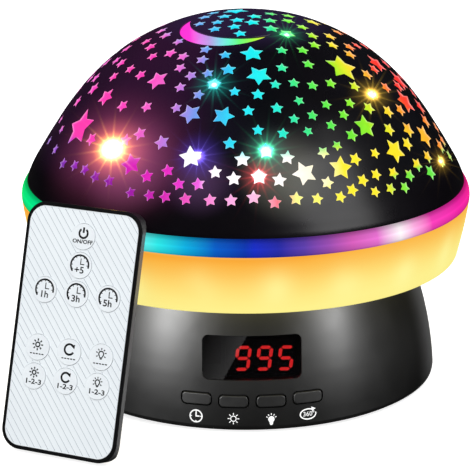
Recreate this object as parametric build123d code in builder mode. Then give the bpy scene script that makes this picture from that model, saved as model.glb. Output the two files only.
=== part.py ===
from build123d import *
import os
from math import sin, cos, tan, pi, radians, degrees, hypot, sqrt, atan2

os.makedirs("parts", exist_ok=True)

# Star night light projector with its card remote, in millimetres.
# Origin: on the floor, on the axis that the dome turns about.
# +Z up, the display and the buttons face -Y, the USB socket faces +Y.

# ---------------------------------------------------------------- driving sizes
ring_r = 75.0            # widest radius, at the top of the warm light ring
total_h = 122.35         # top of the dome above the floor

foot_t = 1.6             # anti-slip ring, let 0.6 mm into the base plate
plate_z0, plate_t = 1.0, 2.0
wall = 2.2               # base housing wall
base_top = 42.5

win_w, win_h, win_z = 31.1, 13.4, 24.05     # display window
btn_w, btn_h = 9.0, 3.6                     # button caps
btn_gap = 0.4                               # gap round a cap
btn_travel = 0.6
btn_x = (-17.6, -5.9, 5.9, 17.6)            # left to right
btn_z = (11.05, 10.65, 10.65, 11.05)

deck_z0, deck_z1 = 58.5, 60.5
post_r, post_bore, post_top = 15.0, 11.0, 74.0
run_gap = 0.05                              # radial clearance of running fits

gear_m, gear_z, pinion_z = 1.0, 60, 15
gear_cd = gear_m * (gear_z + pinion_z) / 2  # 37.5, shaft centre distance
shaft_r = 2.0

shell_t, liner_t, skin_gap = 1.6, 1.2, 0.15
rim_z = 67.2                                # lower edge of the dome

screw_head_r, screw_head_h, screw_r, screw_len = 2.1, 1.6, 1.1, 5.0

# remote: width, length, thickness, and where it stands and leans
rem_w, rem_l, rem_t = 39.8, 77.0, 5.2
rem_yaw, rem_lean = -25.78, 17.65
rem_foot = (-61.01, -83.64)
key_travel = 0.3


def base_r(z):
    """Outer radius of the base housing: a slow curve that draws in upwards."""
    return 64.5 - 0.0416 * z - 0.00456 * z * z


# outer meridian of the dome, radius and height, from the top down
dome_pts = [(0, 122.35), (4.4, 122.22), (8.6, 121.85), (12.7, 121.25), (16.7, 120.45),
            (20.6, 119.42), (24.4, 118.15), (28.1, 116.65), (31.8, 114.95), (35.4, 113.05),
            (38.9, 110.95), (42.2, 108.65), (45.3, 106.15), (48.3, 103.5), (51.1, 100.75),
            (53.8, 97.85), (56.3, 94.75), (58.8, 91.5), (61.1, 88.25), (63.3, 84.85),
            (65.5, 81.45), (67.65, 77.95), (69.25, 75.3), (70.6, 73.0), (71.65, 70.95),
            (72.4, 69.2), (72.85, 68.1), (73.05, 67.2)]


def dome_at(z):
    """Outer radius and outward normal (radial, axial) of the dome at height z."""
    for (r1, z1), (r2, z2) in zip(dome_pts, dome_pts[1:]):
        if z1 >= z >= z2:
            t = (z1 - z) / (z1 - z2)
            n = (z1 - z2, r2 - r1)
            k = hypot(*n)
            return r1 + t * (r2 - r1), n[0] / k, n[1] / k
    return dome_pts[-1][0], 1.0, 0.0


def inset(d, z_stop):
    """The dome meridian set in by d along its normal, down to height z_stop."""
    pts = []
    for i, (r, z) in enumerate(dome_pts):
        a, b = dome_pts[max(i - 1, 0)], dome_pts[min(i + 1, len(dome_pts) - 1)]
        n = (a[1] - b[1], b[0] - a[0])
        k = hypot(*n)
        pts.append((max(r - d * n[0] / k, 0.0) if i else 0.0, z - d * (n[1] / k if i else 1.0)))
    out = [p for p in pts if p[1] > z_stop + 0.6]
    lower = pts[len(out):] or [pts[-1]]
    (r1, z1), (r2, z2) = out[-1], lower[0]
    if z2 >= z1:
        r2, z2 = r1 + 0.2, z1 - 1.0
    t = (z1 - z_stop) / (z1 - z2)
    out.append((r1 + t * (r2 - r1), z_stop))
    return out


def ends(pts):
    """Start and end directions for a meridian spline: level at the top."""
    (a, b), (c, d) = pts[-2], pts[-1]
    return [(1, 0), (c - a, d - b)]


def star(radius, turn=0.0, ratio=0.52):
    """Ten points of a five-pointed star."""
    return [((radius if i % 2 == 0 else radius * ratio) * cos(radians(90 + turn + 36 * i)),
             (radius if i % 2 == 0 else radius * ratio) * sin(radians(90 + turn + 36 * i)))
            for i in range(10)]


def gear_points(m, z, backlash, add, phase):
    """Outline of an involute gear, pressure angle 20 degrees, phase in degrees of a tooth centre."""
    rp, pa = m * z / 2, radians(20)
    rb, ra, rf = rp * cos(pa), rp + add * m, rp - 1.2 * m
    inv = lambda a: tan(a) - a
    half = pi / (2 * z) - backlash / (2 * rp)
    pts = []
    for k in range(z):
        c = radians(phase) + 2 * pi * k / z
        flank = []
        for i in range(4):
            r = max(rb, rf) + (ra - max(rb, rf)) * i / 3
            a = math_acos(min(1.0, rb / r))
            flank.append((r, half + inv(pa) - inv(a)))
        root = [(rf, flank[0][1])] if rf < rb else []
        side = root + flank
        pts += [(r * cos(c - t), r * sin(c - t)) for r, t in side]
        pts += [(r * cos(c + t), r * sin(c + t)) for r, t in reversed(side)]
    return pts


def math_acos(v):
    return atan2(sqrt(max(0.0, 1 - v * v)), v)


def at_angle(r, a):
    return (r * cos(radians(a)), r * sin(radians(a)))


# ---------------------------------------------------------------- positions
pillar_xy = [(34.3, 34.3), (-34.3, 34.3), (-34.3, -34.3), (34.3, -34.3)]
deck_screw_xy = [(46.2, 0), (-46.2, 0), (15.8, -43.4), (-15.8, -43.4)]
board_screw_xy = [(21, -34), (-21, -34), (21, 42), (-21, 42)]
motor_screw_xy = [(16, gear_cd), (-16, gear_cd)]
post_screw_xy = [(13, 0), (-13, 0)]
dome_screw_xy = [at_angle(60, a) for a in (45, 135, 225, 315)]

# ---------------------------------------------------------------- base
with BuildPart() as base_housing:
    with BuildSketch(Plane.XZ):
        with BuildLine():
            Line((62.0, 1.0), (63.4, 1.0))
            Line((63.4, 1.0), (64.2, 1.5))
            Line((64.2, 1.5), (base_r(2.6), 2.6))
            Spline([(base_r(z), z) for z in (2.6, 8, 14, 20, 26, 32, 38, base_top)])
            Line((base_r(base_top), base_top), (42.0, base_top))
            Line((42.0, base_top), (42.0, base_top - 2))
            Line((42.0, base_top - 2), (base_r(40.5) - wall, base_top - 2))
            Spline([(base_r(z) - wall, z) for z in (40.5, 34, 27, 20, 13, 7, 3.0)])
            Line((base_r(3.0) - wall, 3.0), (62.0, 1.0))
        make_face()
    revolve(axis=Axis.Z)
    # screw pillars
    with BuildSketch(Plane.XY.offset(3.0)):
        with Locations(*pillar_xy):
            Circle(3.5)
    extrude(amount=38.0)
    with BuildSketch(Plane.XY.offset(3.0)):
        with Locations(*pillar_xy):
            Circle(1.2)
    extrude(amount=11.0, mode=Mode.SUBTRACT)
    # holes for the deck screws
    with BuildSketch(Plane.XY.offset(base_top - 3)):
        with Locations(*deck_screw_xy):
            Circle(1.3)
    extrude(amount=4.0, mode=Mode.SUBTRACT)
    # display window opening
    with BuildSketch(Plane.XZ.offset(45)):
        with Locations((0, win_z)):
            RectangleRounded(win_w + 0.3, win_h + 0.3, 2.0)
    extrude(amount=25, mode=Mode.SUBTRACT)
    # button openings
    for bx, bz in zip(btn_x, btn_z):
        with BuildSketch(Plane.XZ.offset(50)):
            with Locations((bx, bz)):
                RectangleRounded(btn_w + 2 * btn_gap, btn_h + 2 * btn_gap, 1.6)
        extrude(amount=20, mode=Mode.SUBTRACT)
    # USB socket: a slot through the wall and a shallow landing for the plug's grip
    with BuildSketch(Plane.XZ.offset(-55)):
        with Locations((0, 10.4)):
            RectangleRounded(9.6, 4.0, 1.9)
    extrude(amount=-12, mode=Mode.SUBTRACT)
    with BuildSketch(Plane.XZ.offset(-62.9)):
        with Locations((0, 10.4)):
            RectangleRounded(13.0, 7.6, 3.0)
    extrude(amount=-4, mode=Mode.SUBTRACT)
base_housing.part.label = "base_housing"
export_step(base_housing.part, "parts/base_housing.step")

with BuildPart() as base_plate:
    with BuildSketch(Plane.XY.offset(plate_z0)):
        Circle(61.9)
    extrude(amount=plate_t)
    # groove for the foot ring
    with BuildSketch(Plane.XY.offset(plate_z0)):
        Circle(59.6)
        Circle(52.9, mode=Mode.SUBTRACT)
    extrude(amount=foot_t - plate_z0, mode=Mode.SUBTRACT)
    # screw seats
    with BuildSketch(Plane.XY.offset(plate_z0)):
        with Locations(*pillar_xy):
            Circle(2.7)
    extrude(amount=1.2, mode=Mode.SUBTRACT)
    with BuildSketch(Plane.XY.offset(plate_z0)):
        with Locations(*pillar_xy):
            Circle(1.4)
    extrude(amount=plate_t, mode=Mode.SUBTRACT)
    # four posts carry the main board
    with BuildSketch(Plane.XY.offset(3.0)):
        with Locations(*board_screw_xy):
            Circle(3.0)
    extrude(amount=4.0)
    with BuildSketch(Plane.XY.offset(3.3)):
        with Locations(*board_screw_xy):
            Circle(1.15)
    extrude(amount=3.7, mode=Mode.SUBTRACT)
    # two grooved guides hold the control board by its edges
    with BuildSketch(Plane.XY.offset(3.0)):
        with Locations((25.9, -48.5), (-25.9, -48.5)):
            Rectangle(3.2, 5.0)
    extrude(amount=23.0)
    with BuildSketch(Plane.XY.offset(4.4)):
        with Locations((0, -48.5)):
            Rectangle(50.2, 1.7)
    extrude(amount=22.0, mode=Mode.SUBTRACT)
base_plate.part.label = "base_plate"
export_step(base_plate.part, "parts/base_plate.step")

with BuildPart() as rubber_foot_ring:
    with BuildSketch(Plane.XY):
        Circle(59.5)
        Circle(53.0, mode=Mode.SUBTRACT)
    extrude(amount=foot_t)
    chamfer(rubber_foot_ring.edges().group_by(Axis.Z)[0], 0.4)
rubber_foot_ring.part.label = "rubber_foot_ring"
export_step(rubber_foot_ring.part, "parts/rubber_foot_ring.step")

with BuildPart() as base_screws:
    with BuildSketch(Plane.XY.offset(1.1)):
        with Locations(*pillar_xy):
            Circle(2.4)
    extrude(amount=1.1)
    with BuildSketch(Plane.XY.offset(2.2)):
        with Locations(*pillar_xy):
            Circle(1.15)
    extrude(amount=9.8)
    with BuildSketch(Plane.XY.offset(1.1)):
        with Locations(*pillar_xy):
            Rectangle(2.6, 0.5)
            Rectangle(0.5, 2.6)
    extrude(amount=0.8, mode=Mode.SUBTRACT)
base_screws.part.label = "base_screws"
export_step(base_screws.part, "parts/base_screws.step")

# smoked window: flush lens with a flange behind the wall
with BuildPart() as window_lens:
    with BuildSketch(Plane.XZ.offset(45)):
        with Locations((0, win_z)):
            RectangleRounded(win_w, win_h, 1.85)
    extrude(amount=25)
    with BuildSketch(Plane.XZ):
        with BuildLine():
            Spline([(base_r(z) - 0.35, z) for z in (12, 18, 24, 30, 36)])
            Line((base_r(36) - 0.35, 36), (base_r(36) - 3.2, 36))
            Spline([(base_r(z) - 3.2, z) for z in (36, 30, 24, 18, 12)])
            Line((base_r(12) - 3.2, 12), (base_r(12) - 0.35, 12))
        make_face()
    revolve(axis=Axis.Z, mode=Mode.INTERSECT)

with BuildPart() as display_window:
    with BuildSketch(Plane.XZ.offset(45)):
        with Locations((0, win_z)):
            RectangleRounded(win_w + 3.4, win_h + 2.6, 2.5)
    extrude(amount=25)
    with BuildSketch(Plane.XZ):
        with BuildLine():
            Spline([(base_r(z) - 2.3, z) for z in (12, 18, 24, 30, 36)])
            Line((base_r(36) - 2.3, 36), (base_r(36) - 3.2, 36))
            Spline([(base_r(z) - 3.2, z) for z in (36, 30, 24, 18, 12)])
            Line((base_r(12) - 3.2, 12), (base_r(12) - 2.3, 12))
        make_face()
    revolve(axis=Axis.Z, mode=Mode.INTERSECT)
    add(window_lens.part)
display_window.part.label = "display_window"
export_step(display_window.part, "parts/display_window.step")

# ---------------------------------------------------------------- control board
board_y0, board_y1 = -49.3, -47.7
with BuildPart() as control_board:
    with BuildSketch(Plane.XZ.offset(-board_y1)):
        with Locations((0, 18.3)):
            Rectangle(50.0, 27.4)
    extrude(amount=1.6)
control_board.part.label = "control_board"
export_step(control_board.part, "parts/control_board.step")

with BuildPart() as display_module:
    with BuildSketch(Plane.XZ.offset(-board_y0)):
        with Locations((3.1, 22.6)):
            Rectangle(22.6, 12.2)
    extrude(amount=5.0)
    chamfer(display_module.faces().sort_by(Axis.Y)[0].edges(), 0.3)
display_module.part.label = "display_module"
export_step(display_module.part, "parts/display_module.step")

with BuildPart() as ir_receiver:
    with BuildSketch(Plane.XZ.offset(-board_y0)):
        with Locations((-12.2, 22.6)):
            Rectangle(5.2, 6.6)
    extrude(amount=3.0)
    with BuildSketch(Plane.XZ.offset(-board_y0 + 3.0)):
        with Locations((-12.2, 22.9)):
            Circle(1.9)
    extrude(amount=1.0)
    fillet(ir_receiver.faces().sort_by(Axis.Y)[0].edges(), 0.7)
ir_receiver.part.label = "ir_receiver"
export_step(ir_receiver.part, "parts/ir_receiver.step")

with BuildPart() as tact_switches:
    with BuildSketch(Plane.XZ.offset(-board_y0)):
        with Locations(*[(x, z) for x, z in zip(btn_x, btn_z)]):
            Rectangle(6.0, 6.0)
    extrude(amount=3.5)
    with BuildSketch(Plane.XZ.offset(-board_y0 + 3.5)):
        with Locations(*[(x, z) for x, z in zip(btn_x, btn_z)]):
            Circle(1.75)
    extrude(amount=1.0)
tact_switches.part.label = "tact_switches"
export_step(tact_switches.part, "parts/tact_switches.step")

# four push buttons: cap through the wall, flange behind it, stem to the switch
def button_blank(bx, bz):
    """Flange face and stem tip, as distances from the axis along -Y."""
    edge = abs(bx) + btn_w / 2 + 1.4
    return sqrt((base_r(bz + 3.2) - wall - 0.15) ** 2 - edge ** 2)


with BuildPart() as timer_button:
    with BuildSketch(Plane.XZ.offset(button_blank(btn_x[0], btn_z[0]))):
        with Locations((btn_x[0], btn_z[0])):
            RectangleRounded(btn_w, btn_h, 1.25)
    extrude(amount=14)
    with BuildSketch(Plane.XZ):
        with BuildLine():
            Spline([(base_r(z) + 0.5, z) for z in (4, 8, 12, 17)])
            Polyline((base_r(17) + 0.5, 17), (30, 17), (30, 4), (base_r(4) + 0.5, 4))
        make_face()
    revolve(axis=Axis.Z, mode=Mode.INTERSECT)
    fillet(timer_button.faces().sort_by(Axis.Y)[0].edges(), 0.35)
    with BuildSketch(Plane.XZ.offset(button_blank(btn_x[0], btn_z[0]) - 1.0)):
        with Locations((btn_x[0], btn_z[0])):
            RectangleRounded(btn_w + 2.8, btn_h + 2.4, 1.6)
    extrude(amount=1.0)
    with BuildSketch(Plane.XZ.offset(54.45)):
        with Locations((btn_x[0], btn_z[0])):
            Circle(1.5)
    extrude(amount=button_blank(btn_x[0], btn_z[0]) - 54.95)
timer_button.part.label = "timer_button"
export_step(timer_button.part, "parts/timer_button.step")

with BuildPart() as brightness_button:
    with BuildSketch(Plane.XZ.offset(button_blank(btn_x[1], btn_z[1]))):
        with Locations((btn_x[1], btn_z[1])):
            RectangleRounded(btn_w, btn_h, 1.25)
    extrude(amount=14)
    with BuildSketch(Plane.XZ):
        with BuildLine():
            Spline([(base_r(z) + 0.5, z) for z in (4, 8, 12, 17)])
            Polyline((base_r(17) + 0.5, 17), (30, 17), (30, 4), (base_r(4) + 0.5, 4))
        make_face()
    revolve(axis=Axis.Z, mode=Mode.INTERSECT)
    fillet(brightness_button.faces().sort_by(Axis.Y)[0].edges(), 0.35)
    with BuildSketch(Plane.XZ.offset(button_blank(btn_x[1], btn_z[1]) - 1.0)):
        with Locations((btn_x[1], btn_z[1])):
            RectangleRounded(btn_w + 1.8, btn_h + 2.4, 1.6)
    extrude(amount=1.0)
    with BuildSketch(Plane.XZ.offset(54.45)):
        with Locations((btn_x[1], btn_z[1])):
            Circle(1.5)
    extrude(amount=button_blank(btn_x[1], btn_z[1]) - 54.95)
brightness_button.part.label = "brightness_button"
export_step(brightness_button.part, "parts/brightness_button.step")

with BuildPart() as light_button:
    with BuildSketch(Plane.XZ.offset(button_blank(btn_x[2], btn_z[2]))):
        with Locations((btn_x[2], btn_z[2])):
            RectangleRounded(btn_w, btn_h, 1.25)
    extrude(amount=14)
    with BuildSketch(Plane.XZ):
        with BuildLine():
            Spline([(base_r(z) + 0.5, z) for z in (4, 8, 12, 17)])
            Polyline((base_r(17) + 0.5, 17), (30, 17), (30, 4), (base_r(4) + 0.5, 4))
        make_face()
    revolve(axis=Axis.Z, mode=Mode.INTERSECT)
    fillet(light_button.faces().sort_by(Axis.Y)[0].edges(), 0.35)
    with BuildSketch(Plane.XZ.offset(button_blank(btn_x[2], btn_z[2]) - 1.0)):
        with Locations((btn_x[2], btn_z[2])):
            RectangleRounded(btn_w + 1.8, btn_h + 2.4, 1.6)
    extrude(amount=1.0)
    with BuildSketch(Plane.XZ.offset(54.45)):
        with Locations((btn_x[2], btn_z[2])):
            Circle(1.5)
    extrude(amount=button_blank(btn_x[2], btn_z[2]) - 54.95)
light_button.part.label = "light_button"
export_step(light_button.part, "parts/light_button.step")

with BuildPart() as rotation_button:
    with BuildSketch(Plane.XZ.offset(button_blank(btn_x[3], btn_z[3]))):
        with Locations((btn_x[3], btn_z[3])):
            RectangleRounded(btn_w, btn_h, 1.25)
    extrude(amount=14)
    with BuildSketch(Plane.XZ):
        with BuildLine():
            Spline([(base_r(z) + 0.5, z) for z in (4, 8, 12, 17)])
            Polyline((base_r(17) + 0.5, 17), (30, 17), (30, 4), (base_r(4) + 0.5, 4))
        make_face()
    revolve(axis=Axis.Z, mode=Mode.INTERSECT)
    fillet(rotation_button.faces().sort_by(Axis.Y)[0].edges(), 0.35)
    with BuildSketch(Plane.XZ.offset(button_blank(btn_x[3], btn_z[3]) - 1.0)):
        with Locations((btn_x[3], btn_z[3])):
            RectangleRounded(btn_w + 2.8, btn_h + 2.4, 1.6)
    extrude(amount=1.0)
    with BuildSketch(Plane.XZ.offset(54.45)):
        with Locations((btn_x[3], btn_z[3])):
            Circle(1.5)
    extrude(amount=button_blank(btn_x[3], btn_z[3]) - 54.95)
rotation_button.part.label = "rotation_button"
export_step(rotation_button.part, "parts/rotation_button.step")

# ---------------------------------------------------------------- main board
with BuildPart() as main_board:
    with BuildSketch(Plane.XY.offset(7.0)):
        with Locations((0, 4)):
            Rectangle(50.0, 84.0)
        with Locations((0, 51)):
            Rectangle(15.0, 15.0)
    extrude(amount=1.6)
    with BuildSketch(Plane.XY.offset(7.0)):
        with Locations(*board_screw_xy):
            Circle(1.3)
    extrude(amount=1.6, mode=Mode.SUBTRACT)
main_board.part.label = "main_board"
export_step(main_board.part, "parts/main_board.step")

with BuildPart() as board_components:
    # controller chip
    with BuildSketch(Plane.XY.offset(8.6)):
        with Locations((-8, -8)):
            Rectangle(10.0, 4.0)
    extrude(amount=1.6)
    # two electrolytic capacitors
    with BuildSketch(Plane.XY.offset(8.6)):
        with Locations((14, 28), (-14, 28)):
            Circle(4.0)
    extrude(amount=9.0)
    # LED driver chips
    with BuildSketch(Plane.XY.offset(8.6)):
        with Locations((12, 12), (-12, 12)):
            Rectangle(5.0, 4.0)
    extrude(amount=1.5)
    # wire headers: dome light, motor, light rings, control board
    with BuildSketch(Plane.XY.offset(8.6)):
        with Locations((6, 0), (16, -4), (16, -14), (-6, -28), (8, -28)):
            Rectangle(7.5, 4.5)
    extrude(amount=5.5)
board_components.part.label = "board_components"
export_step(board_components.part, "parts/board_components.step")

with BuildPart() as usb_socket:
    with BuildSketch(Plane.XZ.offset(-54.6)):
        with Locations((0, 10.4)):
            RectangleRounded(8.94, 3.26, 1.6)
    extrude(amount=-7.6)
    with BuildSketch(Plane.XZ.offset(-62.2)):
        with Locations((0, 10.4)):
            RectangleRounded(8.34, 2.66, 1.3)
    extrude(amount=6.4, mode=Mode.SUBTRACT)
    with BuildSketch(Plane.XZ.offset(-55.6)):
        with Locations((0, 10.4)):
            Rectangle(6.7, 0.7)
    extrude(amount=-5.9)
    with BuildSketch(Plane.XY.offset(8.6)):
        with Locations((0, 56.4)):
            Rectangle(7.0, 3.0)
    extrude(amount=0.5)
usb_socket.part.label = "usb_socket"
export_step(usb_socket.part, "parts/usb_socket.step")

# ---------------------------------------------------------------- light rings
with BuildPart() as warm_diffuser_ring:
    with BuildSketch(Plane.XZ):
        with BuildLine():
            Polyline((75.0, 61.8), (73.0, 61.8), (72.7, 58.4), (69.7, 44.5), (51.8, 44.5),
                     (51.8, 42.5), (70.6, 42.5), (71.25, 42.75), (71.55, 43.3))
            Spline([(71.55, 43.3), (72.5, 47.5), (73.45, 52.0), (74.35, 57.0), (75.0, 61.8)])
        make_face()
    revolve(axis=Axis.Z)
warm_diffuser_ring.part.label = "warm_diffuser_ring"
export_step(warm_diffuser_ring.part, "parts/warm_diffuser_ring.step")

with BuildPart() as ring_reflector:
    with BuildSketch(Plane.XY.offset(44.5)):
        Circle(62.4)
        Circle(61.0, mode=Mode.SUBTRACT)
    extrude(amount=14.0)
ring_reflector.part.label = "ring_reflector"
export_step(ring_reflector.part, "parts/ring_reflector.step")

with BuildPart() as warm_led_strip:
    with BuildSketch(Plane.XY.offset(47.0)):
        Circle(62.8)
        Circle(62.4, mode=Mode.SUBTRACT)
    extrude(amount=8.0)
warm_led_strip.part.label = "warm_led_strip"
export_step(warm_led_strip.part, "parts/warm_led_strip.step")

with BuildPart() as warm_leds:
    with BuildSketch(Plane.XY.offset(49.6)):
        with PolarLocations(63.52, 20, start_angle=-84.7):
            Rectangle(1.4, 3.5)
    extrude(amount=2.8)
warm_leds.part.label = "warm_leds"
export_step(warm_leds.part, "parts/warm_leds.step")

with BuildPart() as rainbow_light_ring:
    with BuildSketch(Plane.XZ):
        with BuildLine():
            ThreePointArc((75.0, 61.8), (74.8, 64.3), (73.75, 66.5))
            Polyline((73.75, 66.5), (73.35, 66.8), (66.4, 66.8), (66.4, 61.3), (67.4, 61.3),
                     (67.4, 63.2), (71.9, 63.2), (71.9, 61.8), (75.0, 61.8))
        make_face()
    revolve(axis=Axis.Z)
rainbow_light_ring.part.label = "rainbow_light_ring"
export_step(rainbow_light_ring.part, "parts/rainbow_light_ring.step")

with BuildPart() as rgb_led_board:
    with BuildSketch(Plane.XY.offset(deck_z1)):
        Circle(71.6)
        Circle(66.2, mode=Mode.SUBTRACT)
    extrude(amount=0.8)
rgb_led_board.part.label = "rgb_led_board"
export_step(rgb_led_board.part, "parts/rgb_led_board.step")

with BuildPart() as rgb_leds:
    with BuildSketch(Plane.XY.offset(61.3)):
        with PolarLocations(69.65, 24):
            Rectangle(2.8, 3.5)
    extrude(amount=1.2)
rgb_leds.part.label = "rgb_leds"
export_step(rgb_leds.part, "parts/rgb_leds.step")

# ---------------------------------------------------------------- deck and motor
with BuildPart() as deck:
    with BuildSketch(Plane.XZ):
        with BuildLine():
            Polyline((49.5, 42.5), (51.5, 42.5), (51.5, deck_z0), (71.8, deck_z0), (71.8, deck_z1),
                     (post_r, deck_z1), (post_r, post_top), (post_bore, post_top),
                     (post_bore, deck_z0), (49.5, deck_z0), (49.5, 42.5))
        make_face()
    revolve(axis=Axis.Z)
    with BuildSketch(Plane.XY.offset(42.5)):
        with Locations(*deck_screw_xy):
            Circle(3.4)
    extrude(amount=16.2)
    with BuildSketch(Plane.XY.offset(42.5)):
        with Locations(*deck_screw_xy):
            Circle(1.15)
    extrude(amount=6.0, mode=Mode.SUBTRACT)
    with BuildSketch(Plane.XY.offset(deck_z1)):
        with Locations(*motor_screw_xy):
            Circle(3.0)
    extrude(amount=2.6)
    with BuildSketch(Plane.XY.offset(deck_z0)):
        with Locations(*motor_screw_xy):
            Circle(1.15)
    extrude(amount=3.9, mode=Mode.SUBTRACT)
    with BuildSketch(Plane.XY.offset(deck_z0)):
        with Locations((0, gear_cd)):
            Circle(4.3)
    extrude(amount=3, mode=Mode.SUBTRACT)
    with BuildSketch(Plane.XY.offset(69.0)):
        with Locations(*post_screw_xy):
            Circle(1.15)
    extrude(amount=5.0, mode=Mode.SUBTRACT)
deck.part.label = "deck"
export_step(deck.part, "parts/deck.step")

with BuildPart() as gear_motor:
    with BuildSketch(Plane.XY.offset(43.0)):
        with Locations((0, gear_cd)):
            Circle(11.0)
    extrude(amount=14.0)
    fillet(gear_motor.edges().group_by(Axis.Z)[0], 1.0)
    with BuildSketch(Plane.XY.offset(57.0)):
        with Locations((0, gear_cd)):
            SlotOverall(39.0, 7.0)
            Circle(11.0)
    extrude(amount=1.5)
    with BuildSketch(Plane.XY.offset(58.5)):
        with Locations((0, gear_cd)):
            Circle(4.0)
    extrude(amount=1.8)
    with BuildSketch(Plane.XY.offset(56.0)):
        with Locations(*motor_screw_xy):
            Circle(1.3)
    extrude(amount=3.0, mode=Mode.SUBTRACT)
    with BuildSketch(Plane.XY.offset(50.0)):
        with Locations((0, gear_cd)):
            Circle(shaft_r + run_gap)
    extrude(amount=11.0, mode=Mode.SUBTRACT)
gear_motor.part.label = "gear_motor"
export_step(gear_motor.part, "parts/gear_motor.step")

with BuildPart() as motor_shaft:
    with BuildSketch(Plane.XY.offset(50.3)):
        with Locations((0, gear_cd)):
            Circle(shaft_r)
    extrude(amount=16.4)
    chamfer(motor_shaft.edges().group_by(Axis.Z)[-1], 0.3)
motor_shaft.part.label = "motor_shaft"
export_step(motor_shaft.part, "parts/motor_shaft.step")

with BuildPart() as drive_pinion:
    with BuildSketch(Plane((0, gear_cd, 62.0), x_dir=(1, 0, 0), z_dir=(0, 0, 1))):
        with BuildLine():
            Polyline(*gear_points(gear_m, pinion_z, 0.12, 0.92, -90 + 180 / pinion_z), close=True)
        make_face()
        Circle(shaft_r, mode=Mode.SUBTRACT)
    extrude(amount=4.3)
drive_pinion.part.label = "drive_pinion"
export_step(drive_pinion.part, "parts/drive_pinion.step")

with BuildPart() as chassis_screws:
    # main board, head up
    with BuildSketch(Plane.XY.offset(8.6)):
        with Locations(*board_screw_xy):
            Circle(screw_head_r)
    extrude(amount=screw_head_h)
    with BuildSketch(Plane.XY.offset(8.6 - screw_len)):
        with Locations(*board_screw_xy):
            Circle(screw_r)
    extrude(amount=screw_len)
    # deck to housing, head down
    with BuildSketch(Plane.XY.offset(40.5 - screw_head_h)):
        with Locations(*deck_screw_xy):
            Circle(screw_head_r)
    extrude(amount=screw_head_h)
    with BuildSketch(Plane.XY.offset(40.5)):
        with Locations(*deck_screw_xy):
            Circle(screw_r)
    extrude(amount=screw_len)
    # motor ears to deck, head down
    with BuildSketch(Plane.XY.offset(57.0 - screw_head_h)):
        with Locations(*motor_screw_xy):
            Circle(screw_head_r)
    extrude(amount=screw_head_h)
    with BuildSketch(Plane.XY.offset(57.0)):
        with Locations(*motor_screw_xy):
            Circle(screw_r)
    extrude(amount=screw_len)
    # light board to post, head up
    with BuildSketch(Plane.XY.offset(75.2)):
        with Locations(*post_screw_xy):
            Circle(1.9)
    extrude(amount=screw_head_h)
    with BuildSketch(Plane.XY.offset(75.2 - screw_len)):
        with Locations(*post_screw_xy):
            Circle(screw_r)
    extrude(amount=screw_len)
chassis_screws.part.label = "chassis_screws"
export_step(chassis_screws.part, "parts/chassis_screws.step")

with BuildPart() as star_led_board:
    with BuildSketch(Plane.XY.offset(post_top)):
        Circle(15.0)
        with Locations(*post_screw_xy):
            Circle(1.25, mode=Mode.SUBTRACT)
    extrude(amount=1.2)
star_led_board.part.label = "star_led_board"
export_step(star_led_board.part, "parts/star_led_board.step")

with BuildPart() as star_leds:
    with BuildSketch(Plane.XY.offset(post_top + 1.2)):
        Rectangle(5.0, 5.0)
        with Locations(*[at_angle(8.6, a) for a in (45, 135, 225, 315)]):
            Rectangle(5.0, 5.0)
    extrude(amount=1.6)
star_leds.part.label = "star_leds"
export_step(star_leds.part, "parts/star_leds.step")

# wires from the main board up through the hollow post to the light board
with BuildPart() as light_cable:
    with BuildLine() as light_path:
        FilletPolyline((6, 0, 14.1), (6, 0, 24), (2.5, 1.5, 38), (4.5, 0.5, 54), (6.0, 0, 64), (6.0, 0, 74.0),
                       radius=14)
    with BuildSketch(Plane(origin=(6, 0, 14.1), z_dir=(0, 0, 1))):
        Circle(1.5)
    sweep(path=light_path.line)
light_cable.part.label = "light_cable"
export_step(light_cable.part, "parts/light_cable.step")

with BuildPart() as thrust_washer:
    with BuildSketch(Plane.XY.offset(deck_z1)):
        Circle(19.0)
        Circle(15.2, mode=Mode.SUBTRACT)
    extrude(amount=0.5)
thrust_washer.part.label = "thrust_washer"
export_step(thrust_washer.part, "parts/thrust_washer.step")

with BuildPart() as turntable_retainer:
    with BuildSketch(Plane.XY.offset(72.2)):
        Circle(19.0)
        Circle(post_r, mode=Mode.SUBTRACT)
    extrude(amount=1.5)
turntable_retainer.part.label = "turntable_retainer"
export_step(turntable_retainer.part, "parts/turntable_retainer.step")

# ---------------------------------------------------------------- turning dome
hub_z0, hub_z1 = 61.05, 72.1
disc_z0, disc_z1 = 67.6, 69.6
with BuildPart() as turntable:
    with BuildSketch(Plane.XY.offset(hub_z0)):
        Circle(18.0)
    extrude(amount=hub_z1 - hub_z0)
    with BuildSketch(Plane.XY.offset(disc_z0)):
        Circle(69.7)
    extrude(amount=disc_z1 - disc_z0)
    # ring gear under the disc
    with BuildSketch(Plane.XY.offset(62.0)):
        with BuildLine():
            Polyline(*gear_points(gear_m, gear_z, 0.12, 0.92, 90.0), close=True)
        make_face()
        Circle(25.5, mode=Mode.SUBTRACT)
    extrude(amount=disc_z0 - 62.0)
    # stiffening ribs on top of the disc
    with BuildSketch(Plane.XY.offset(disc_z1)):
        with PolarLocations(35.5, 8):
            Rectangle(37.0, 1.5)
    extrude(amount=1.6)
    # bearing bore and screw holes
    with BuildSketch(Plane.XY.offset(hub_z0)):
        Circle(post_r + run_gap)
    extrude(amount=hub_z1 - hub_z0, mode=Mode.SUBTRACT)
    with BuildSketch(Plane.XY.offset(disc_z0)):
        with Locations(*dome_screw_xy):
            Circle(1.3)
    extrude(amount=disc_z1 - disc_z0, mode=Mode.SUBTRACT)
turntable.part.label = "turntable"
export_step(turntable.part, "parts/turntable.step")

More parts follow.
